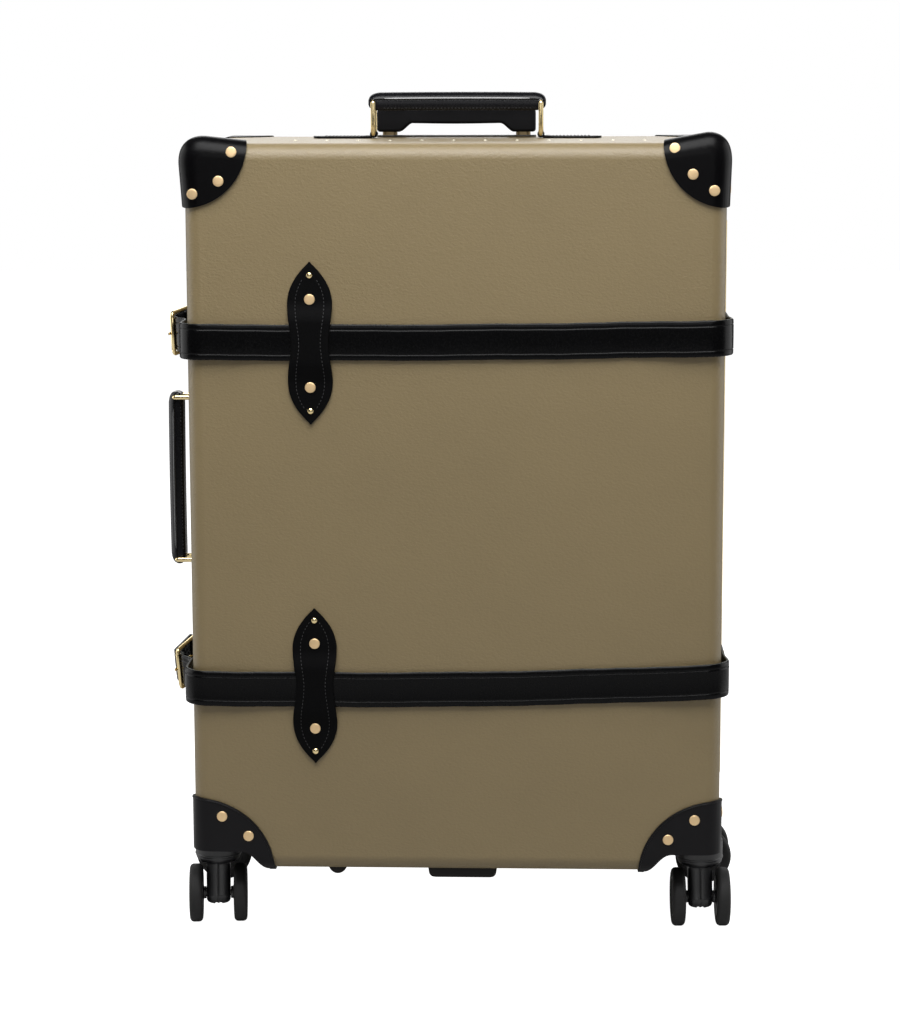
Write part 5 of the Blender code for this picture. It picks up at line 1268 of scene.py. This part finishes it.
# Locks
TONGUE_H, TONGUE_T, TONGUE_OFF, TONGUE_L = 0.013, 0.0022, 0.0034, 0.0065
CATCH_H, CATCH_L, CATCH_T, CATCH_ROOT = 0.027, 0.020, 0.0018, 0.006
SLIDE_H, SLIDE_W, SLIDE_T, SLIDE_TRAVEL, SLIDE_SINK = 0.009, 0.007, 0.0030, 0.006, 0.0016
SLIDE_Y = JOINT_Y + LOCK_SETBACK + LOCK_L * 0.55
TONGUE_ROOM, SLIDE_ROOM, LOCK_EDGE, CATCH_EDGE, TONGUE_EDGE, RIBS = 0.0005, 0.0004, 0.0016, 0.0006, 0.0003, 12
LOCK_PIN_R, LOCK_PIN_H, LOCK_PIN_Z, LOCK_PIN_INSET = 0.0020, 0.0008, 0.0095, 0.005
for lock, level in enumerate(LEVELS):
    z = LOCK_Z[lock]
    near = JOINT_Y + LOCK_SETBACK
    outer = LEFT_X - FIT - LOCK_T
    case = soften(block((outer, near, z - LOCK_H / 2), (LEFT_X - FIT, near + LOCK_L, z + LOCK_H / 2)), LOCK_EDGE, 4)
    gap = TONGUE_ROOM
    cut(case, block((LEFT_X - TONGUE_OFF - TONGUE_T - gap, near - REACH, z - TONGUE_H / 2 - gap),
                    (LEFT_X - TONGUE_OFF + gap, JOINT_Y + TONGUE_L + gap, z + TONGUE_H / 2 + gap)))
    track_half = SLIDE_H / 2 + SLIDE_TRAVEL / 2 + SLIDE_ROOM
    cut(case, block((outer - REACH, SLIDE_Y - SLIDE_W / 2 - SLIDE_ROOM, z - track_half),
                    (outer + SLIDE_SINK + SLIDE_ROOM, SLIDE_Y + SLIDE_W / 2 + SLIDE_ROOM, z + track_half)))
    show(case, f"lock_body_{level}", BRASS, "case_base", f"lock_case_{level}", flat_weight=True)
    slide_z = z + SLIDE_TRAVEL / 2
    face = outer + SLIDE_SINK
    rib = SLIDE_H / RIBS
    outline = [(face, slide_z - SLIDE_H / 2), (face - SLIDE_T, slide_z - SLIDE_H / 2)]
    for i in range(1, RIBS):
        outline.append((face - (SLIDE_T if i % 2 == 0 else SLIDE_T - rib * 0.8), slide_z - SLIDE_H / 2 + rib * i))
    outline += [(face - SLIDE_T, slide_z + SLIDE_H / 2), (face, slide_z + SLIDE_H / 2)]
    slide = prism(outline, "Y", SLIDE_Y - SLIDE_W / 2, SLIDE_Y + SLIDE_W / 2)
    show(slide, f"lock_thumb_{level}", BRASS, f"lock_slide_{level}", f"lock_slide_{level}", sharp=25)
    wall = LEFT_X - FIT
    edge = JOINT_Y - LOCK_SETBACK
    plate = block((wall - CATCH_T, edge - CATCH_L, z - CATCH_H / 2), (wall, edge, z + CATCH_H / 2))
    soften(plate, CATCH_EDGE, 3)
    far = LEFT_X - TONGUE_OFF - TONGUE_T
    outline = [(wall - CATCH_T / 2, edge - CATCH_ROOT), (far, edge - CATCH_ROOT / 2), (far, JOINT_Y + TONGUE_L)]
    outline += [(far + TONGUE_T, JOINT_Y + TONGUE_L), (far + TONGUE_T, edge - FIT), (wall - CATCH_T / 2, edge - FIT)]
    tongue = soften(prism(outline, "Z", z - TONGUE_H / 2, z + TONGUE_H / 2), TONGUE_EDGE, 2)
    show(join(plate, tongue), f"lock_plate_{level}", BRASS, "lid", f"lock_catch_{level}", flat_weight=True)
    screws = bmesh.new()
    for dz in (-LOCK_PIN_Z, LOCK_PIN_Z):
        spot = (wall - CATCH_T, edge - CATCH_L + LOCK_PIN_INSET, z + dz)
        dome(screws, spot, (-1, 0, 0), LOCK_PIN_R, LOCK_PIN_H)
    show(make_solid(screws), f"lock_plate_pins_{level}", BRASS, "lid")


# Long hinge
PIN_ROOM, HINGE_RIM, LEAF_EDGE = 0.0002, 0.0002, 0.0003
HINGE_PIN_R, HINGE_PIN_H, HINGE_PIN_END, HINGE_PIN_OFF, HINGE_PIN_COUNT = 0.0021, 0.0008, 0.020, 0.0095, 12


def knuckle_span(i):
    pitch = HINGE_L / HINGE_KNUCKLES
    low = CLEARANCE + BODY_H / 2 - HINGE_L / 2 + pitch * i
    return low + KNUCKLE_GAP / 2, low + pitch - KNUCKLE_GAP / 2


low, high = knuckle_span(0)[0], knuckle_span(HINGE_KNUCKLES - 1)[1]
inner = RIGHT_X + FIT
for side, word in WORD_OF.items():
    start = JOINT_Y + side * (KNUCKLE_R + KNUCKLE_GAP)
    stop = JOINT_Y + side * HINGE_LEAF_W
    leaf = soften(block((inner, min(start, stop), low), (inner + HINGE_LEAF_T, max(start, stop), high)), LEAF_EDGE, 2)
    parts = [leaf]
    for i in range(0 if side > 0 else 1, HINGE_KNUCKLES, 2):
        z0, z1 = knuckle_span(i)
        web = start + side * KNUCKLE_GAP
        parts.append(block((inner, min(JOINT_Y, web), z0), (inner + HINGE_LEAF_T, max(JOINT_Y, web), z1)))
        knuckle = chamfered(PIN_R + PIN_ROOM, KNUCKLE_R, z0, z1, HINGE_RIM, HINGE_RIM)
        parts.append(bushing(Vector((HINGE_X, JOINT_Y, 0)), knuckle))
    show(gathered(*parts), f"hinge_strip_{word}", BRASS, BODY_OF[side], f"hinge_leaf_{word}")
    pins = bmesh.new()
    for z in evenly(low + HINGE_PIN_END, high - HINGE_PIN_END, HINGE_PIN_COUNT - 1):
        spot = (inner + HINGE_LEAF_T, JOINT_Y + side * HINGE_PIN_OFF, z)
        dome(pins, spot, (1, 0, 0), HINGE_PIN_R, HINGE_PIN_H)
    show(make_solid(pins), f"hinge_pins_{word}", RIVET_BRASS, BODY_OF[side])
wire = lathe(chamfered(0, PIN_R, low, high, HINGE_RIM, HINGE_RIM), (HINGE_X, JOINT_Y, 0), sides=24)
show(wire, "hinge_wire", BRASS, "case_base", "hinge_pin")


# Rubber rests
FOOT_RIM = 0.0012
y = FRONT_Y + REST_INSET_Y
high = CLEARANCE - FIT
loops = []
for dz, shrink in ((0, 0), (0.2, 0.02), (0.55, 0.15), (0.75, 0.30), (0.88, 0.55), (0.96, 0.8), (1.0, 1.1)):
    flat = rounded_outline(REST_W / 2 - REST_EDGE * shrink, REST_L / 2 - REST_EDGE * shrink, REST_EDGE, (REST_X, y), 8)
    loops.append([(u, v, high - REST_H * dz) for u, v in flat])
show(loft(loops), "front_rest", RUBBER, "lid", "bottom_rest")
profile = [(0, high), (FOOT_R * 0.97, high)]
for a in quarter(12)[:-1]:
    profile.append((FOOT_R * math.cos(a), high - FOOT_RIM - (FOOT_H - FOOT_RIM) * math.sin(a)))
profile.append((0, high - FOOT_H))
show(lathe(profile, (FOOT_X, y, 0), sides=40), "front_foot", RUBBER, "lid", "bottom_foot")


# Rivets, studs and nails

# Places of the rivets from a front corner as it is seen: across and down on the caps, across and up on the housings
RIVET_R, RIVET_H, STRAP_RIVET, STRAP_RIVET_OFF, STRAP_RIVET_Z = 0.0052, 0.0014, (0.0042, 0.0012), 0.010, 0.009
CAP_RIVETS = {
    -1: ((0.0470, 0.0080), (0.0343, 0.0355), (0.0091, 0.0478)),
    1: ((0.0508, 0.0050), (0.0335, 0.0294), (0.0130, 0.0449)),
}
HOUSING_RIVETS = {-1: ((0.0285, 0.1225), (0.0545, 0.1028)), 1: ((0.0251, 0.1222), (0.0509, 0.1022))}
SIDE_CAP_RIVETS, SIDE_HOUSING_RIVETS = ((0.0300, 0.0440), (0.0470, 0.0240)), ((0.0300, 0.1225), (0.0590, 0.1035))
LOOP_RIVET_Z, LOOP_STUD_Z, STUD_R, STUD_H = 0.0425, 0.0655, 0.0031, 0.0018
NAIL_R, NAIL_H, NAIL_OFF, NAIL_PITCH, NAIL_START, NAIL_COUNT = 0.0017, 0.0008, 0.0070, 0.0327, 0.150, 20
TOP_NAIL_X, TOP_NAIL_PITCH = -0.0043, 0.0313
CLEAR_OF_STRAP, CLEAR_OF_LOCK, CLEAR_OF_TOP = 0.030, 0.024, 0.07


def on_loop(strap, dz):
    z = LOOP_Z[strap] + dz
    return LOOP_X[strap], FRONT_Y - loop_lift(strap, z) - LOOP_T, z


for side, word in WORD_OF.items():
    rivets, nails = bmesh.new(), bmesh.new()
    nail_y = JOINT_Y + side * NAIL_OFF
    for hand in (-1, 1):
        edge_x = hand * BODY_W / 2
        corner = ("front_" if side < 0 else "rear_") + ("left" if hand < 0 else "right")
        for u, v in CAP_RIVETS[-side * hand]:
            level = TOP - v
            for _ in range(8):  # finds the level that the swell lifts to the rivet's place
                spot, normal = on_cap(edge_x - hand * u, level, FIT + CAP_T[side], side)
                spot.z = swollen(spot, corner).z
                level += TOP - v - spot.z
            disc(rivets, spot, normal, RIVET_R, RIVET_H)
        for u, z in HOUSING_RIVETS[-side * hand]:
            disc(rivets, *on_case(edge_x - hand * u, z, HOUSING_T, side), RIVET_R, RIVET_H)
        side_rivets = [(d, TOP - v, FIT + CAP_T[side]) for d, v in SIDE_CAP_RIVETS]
        side_rivets += [(d, z, HOUSING_T) for d, z in SIDE_HOUSING_RIVETS]
        for d, z, off in side_rivets:
            disc(rivets, (edge_x + hand * off, side * (BODY_D / 2 - d), z), (hand, 0, 0), RIVET_R, RIVET_H)
    nail_places = []
    for z in (NAIL_START + NAIL_PITCH * k for k in range(NAIL_COUNT)):
        taken = [abs(z - s) < CLEAR_OF_STRAP for s in STRAP_Z] + [abs(z - s) < CLEAR_OF_LOCK for s in LOCK_Z]
        if z <= TOP - CLEAR_OF_TOP and not any(taken):
            nail_places.append(((LEFT_X, nail_y, z), (-1, 0, 0)))
    nail_places += [((TOP_NAIL_X + TOP_NAIL_PITCH * k, nail_y, TOP), (0, 0, 1)) for k in range(-5, 7)]
    nail_places += [((NAIL_PITCH * k, nail_y, CLEARANCE), (0, 0, -1)) for k in range(-4, 5)]
    for spot, normal in nail_places:
        dome(nails, spot, normal, NAIL_R, NAIL_H, 14)
    for strap_z in STRAP_Z:
        for dz in (-STRAP_RIVET_Z, STRAP_RIVET_Z):
            spot = (RIGHT_X + STRAP_HUG + STRAP_T, JOINT_Y + side * (STRAP_HINGE_GAP + STRAP_RIVET_OFF), strap_z + dz)
            disc(rivets, spot, (1, 0, 0), *STRAP_RIVET)
    if side < 0:
        studs = bmesh.new()
        for strap in (0, 1):
            for end in (-1, 1):
                disc(rivets, on_loop(strap, end * LOOP_RIVET_Z), (0, -1, 0), RIVET_R, RIVET_H)
                dome(studs, on_loop(strap, end * LOOP_STUD_Z), (0, -1, 0), STUD_R, STUD_H)
        show(make_solid(studs), "loop_studs", BRASS, "lid")
    show(make_solid(rivets), f"{word}_rivets", RIVET_BRASS, BODY_OF[side], sharp=50)
    show(make_solid(nails), f"{word}_nails", NAIL_BRASS, BODY_OF[side])


# Floor, light and camera
FLOOR_LIFT = 1.0
bm = bmesh.new()
for x, y in ((-9, -9), (9, -9), (9, 9), (-9, 9)):
    bm.verts.new((x, y, 0.0))
bm.faces.new(bm.verts)
floor = make_solid(bm, "floor")
made, tree, shader = start_material("studio_floor")
grain = noise(tree, place_coords(tree), 6, 2.0)
tree.links.new(ramp(tree, grain, ((0.3, (0.44, 0.44, 0.44)), (0.7, (0.46, 0.46, 0.46)))), shader.inputs["Base Color"])
set_inputs(shader, {"Roughness": 0.9, "Emission_Color": (1.0, 1.0, 1.0, 1.0)})
path = put(tree, "ShaderNodeLightPath")
lift = put(tree, "ShaderNodeMapRange", To_Max=FLOOR_LIFT)
tree.links.new(path.outputs["Is Camera Ray"], lift.inputs["Value"])
tree.links.new(lift.outputs["Result"], shader.inputs["Emission Strength"])
floor.data.materials.append(made)

# The surround is white in the view, and the light that it casts is weaker
WORLD_LIGHT = 0.10
world = bpy.data.worlds.new("studio")
bpy.context.scene.world = world
world.use_nodes = True
tree = world.node_tree
glow = tree.nodes["Background"]
set_inputs(glow, {"Color": (1.0, 1.0, 1.0, 1.0), "Strength": WORLD_LIGHT})
seen = put(tree, "ShaderNodeBackground", Color=(1.0, 1.0, 1.0, 1.0), Strength=1.0)
mix = put(tree, "ShaderNodeMixShader")
tree.links.new(put(tree, "ShaderNodeLightPath").outputs["Is Camera Ray"], mix.inputs["Fac"])
tree.links.new(glow.outputs["Background"], mix.inputs[1])
tree.links.new(seen.outputs["Background"], mix.inputs[2])
tree.links.new(mix.outputs["Shader"], tree.nodes["World Output"].inputs["Surface"])
bpy.context.scene.view_settings.view_transform = "Standard"


def softbox(name, spot, target, width, height, power):
    light = bpy.data.lights.new(name, "AREA")
    light.shape = "RECTANGLE"
    light.size = width
    light.size_y = height
    light.energy = power
    holder = bpy.data.objects.new(name, light)
    bpy.context.scene.collection.objects.link(holder)
    holder.location = spot
    holder.rotation_euler = (Vector(target) - Vector(spot)).to_track_quat("-Z", "Y").to_euler()


softbox("overhead", (0.0, -0.95, 2.00), (0.0, -0.30, 0.60), 1.7, 1.3, 60)
softbox("front_card", (0.1, -2.9, 1.17), (0.0, 0.0, 0.35), 1.5, 0.70, 6)
softbox("left_card", (-1.7, 0.35, 0.75), (0.0, 0.10, 0.45), 1.6, 1.7, 15)
softbox("right_card", (1.7, 0.35, 0.75), (0.0, 0.10, 0.45), 1.6, 1.7, 15)
softbox("back_card", (0.0, 2.6, 1.8), (0.0, 0.0, 0.45), 2.4, 1.6, 30)

# The camera that was fitted to the photo, with its focal length and the photo's height in pixels
CAMERA_SPOT, FOCAL, PHOTO_H = (0.0996, -2.8112, 0.8547), 2789.2, 1018
yaw, pitch, roll = math.radians(-2.2438), math.radians(9.0068), math.radians(-0.1496)
forward = Vector((math.sin(yaw) * math.cos(pitch), math.cos(yaw) * math.cos(pitch), -math.sin(pitch)))
right = Vector((math.cos(yaw), -math.sin(yaw), 0.0))
up = right.cross(forward)
right_rolled = right * math.cos(roll) + up * math.sin(roll)
up_rolled = -right * math.sin(roll) + up * math.cos(roll)
lens = bpy.data.cameras.new("photo_camera")
lens.sensor_fit = "VERTICAL"
lens.sensor_height = 24.0
lens.lens = FOCAL * lens.sensor_height / PHOTO_H
camera = bpy.data.objects.new("photo_camera", lens)
bpy.context.scene.collection.objects.link(camera)
axes = Matrix((right_rolled, up_rolled, -forward)).transposed().to_4x4()
camera.matrix_world = Matrix.Translation(Vector(CAMERA_SPOT) + SHIFT) @ axes
bpy.context.scene.camera = camera
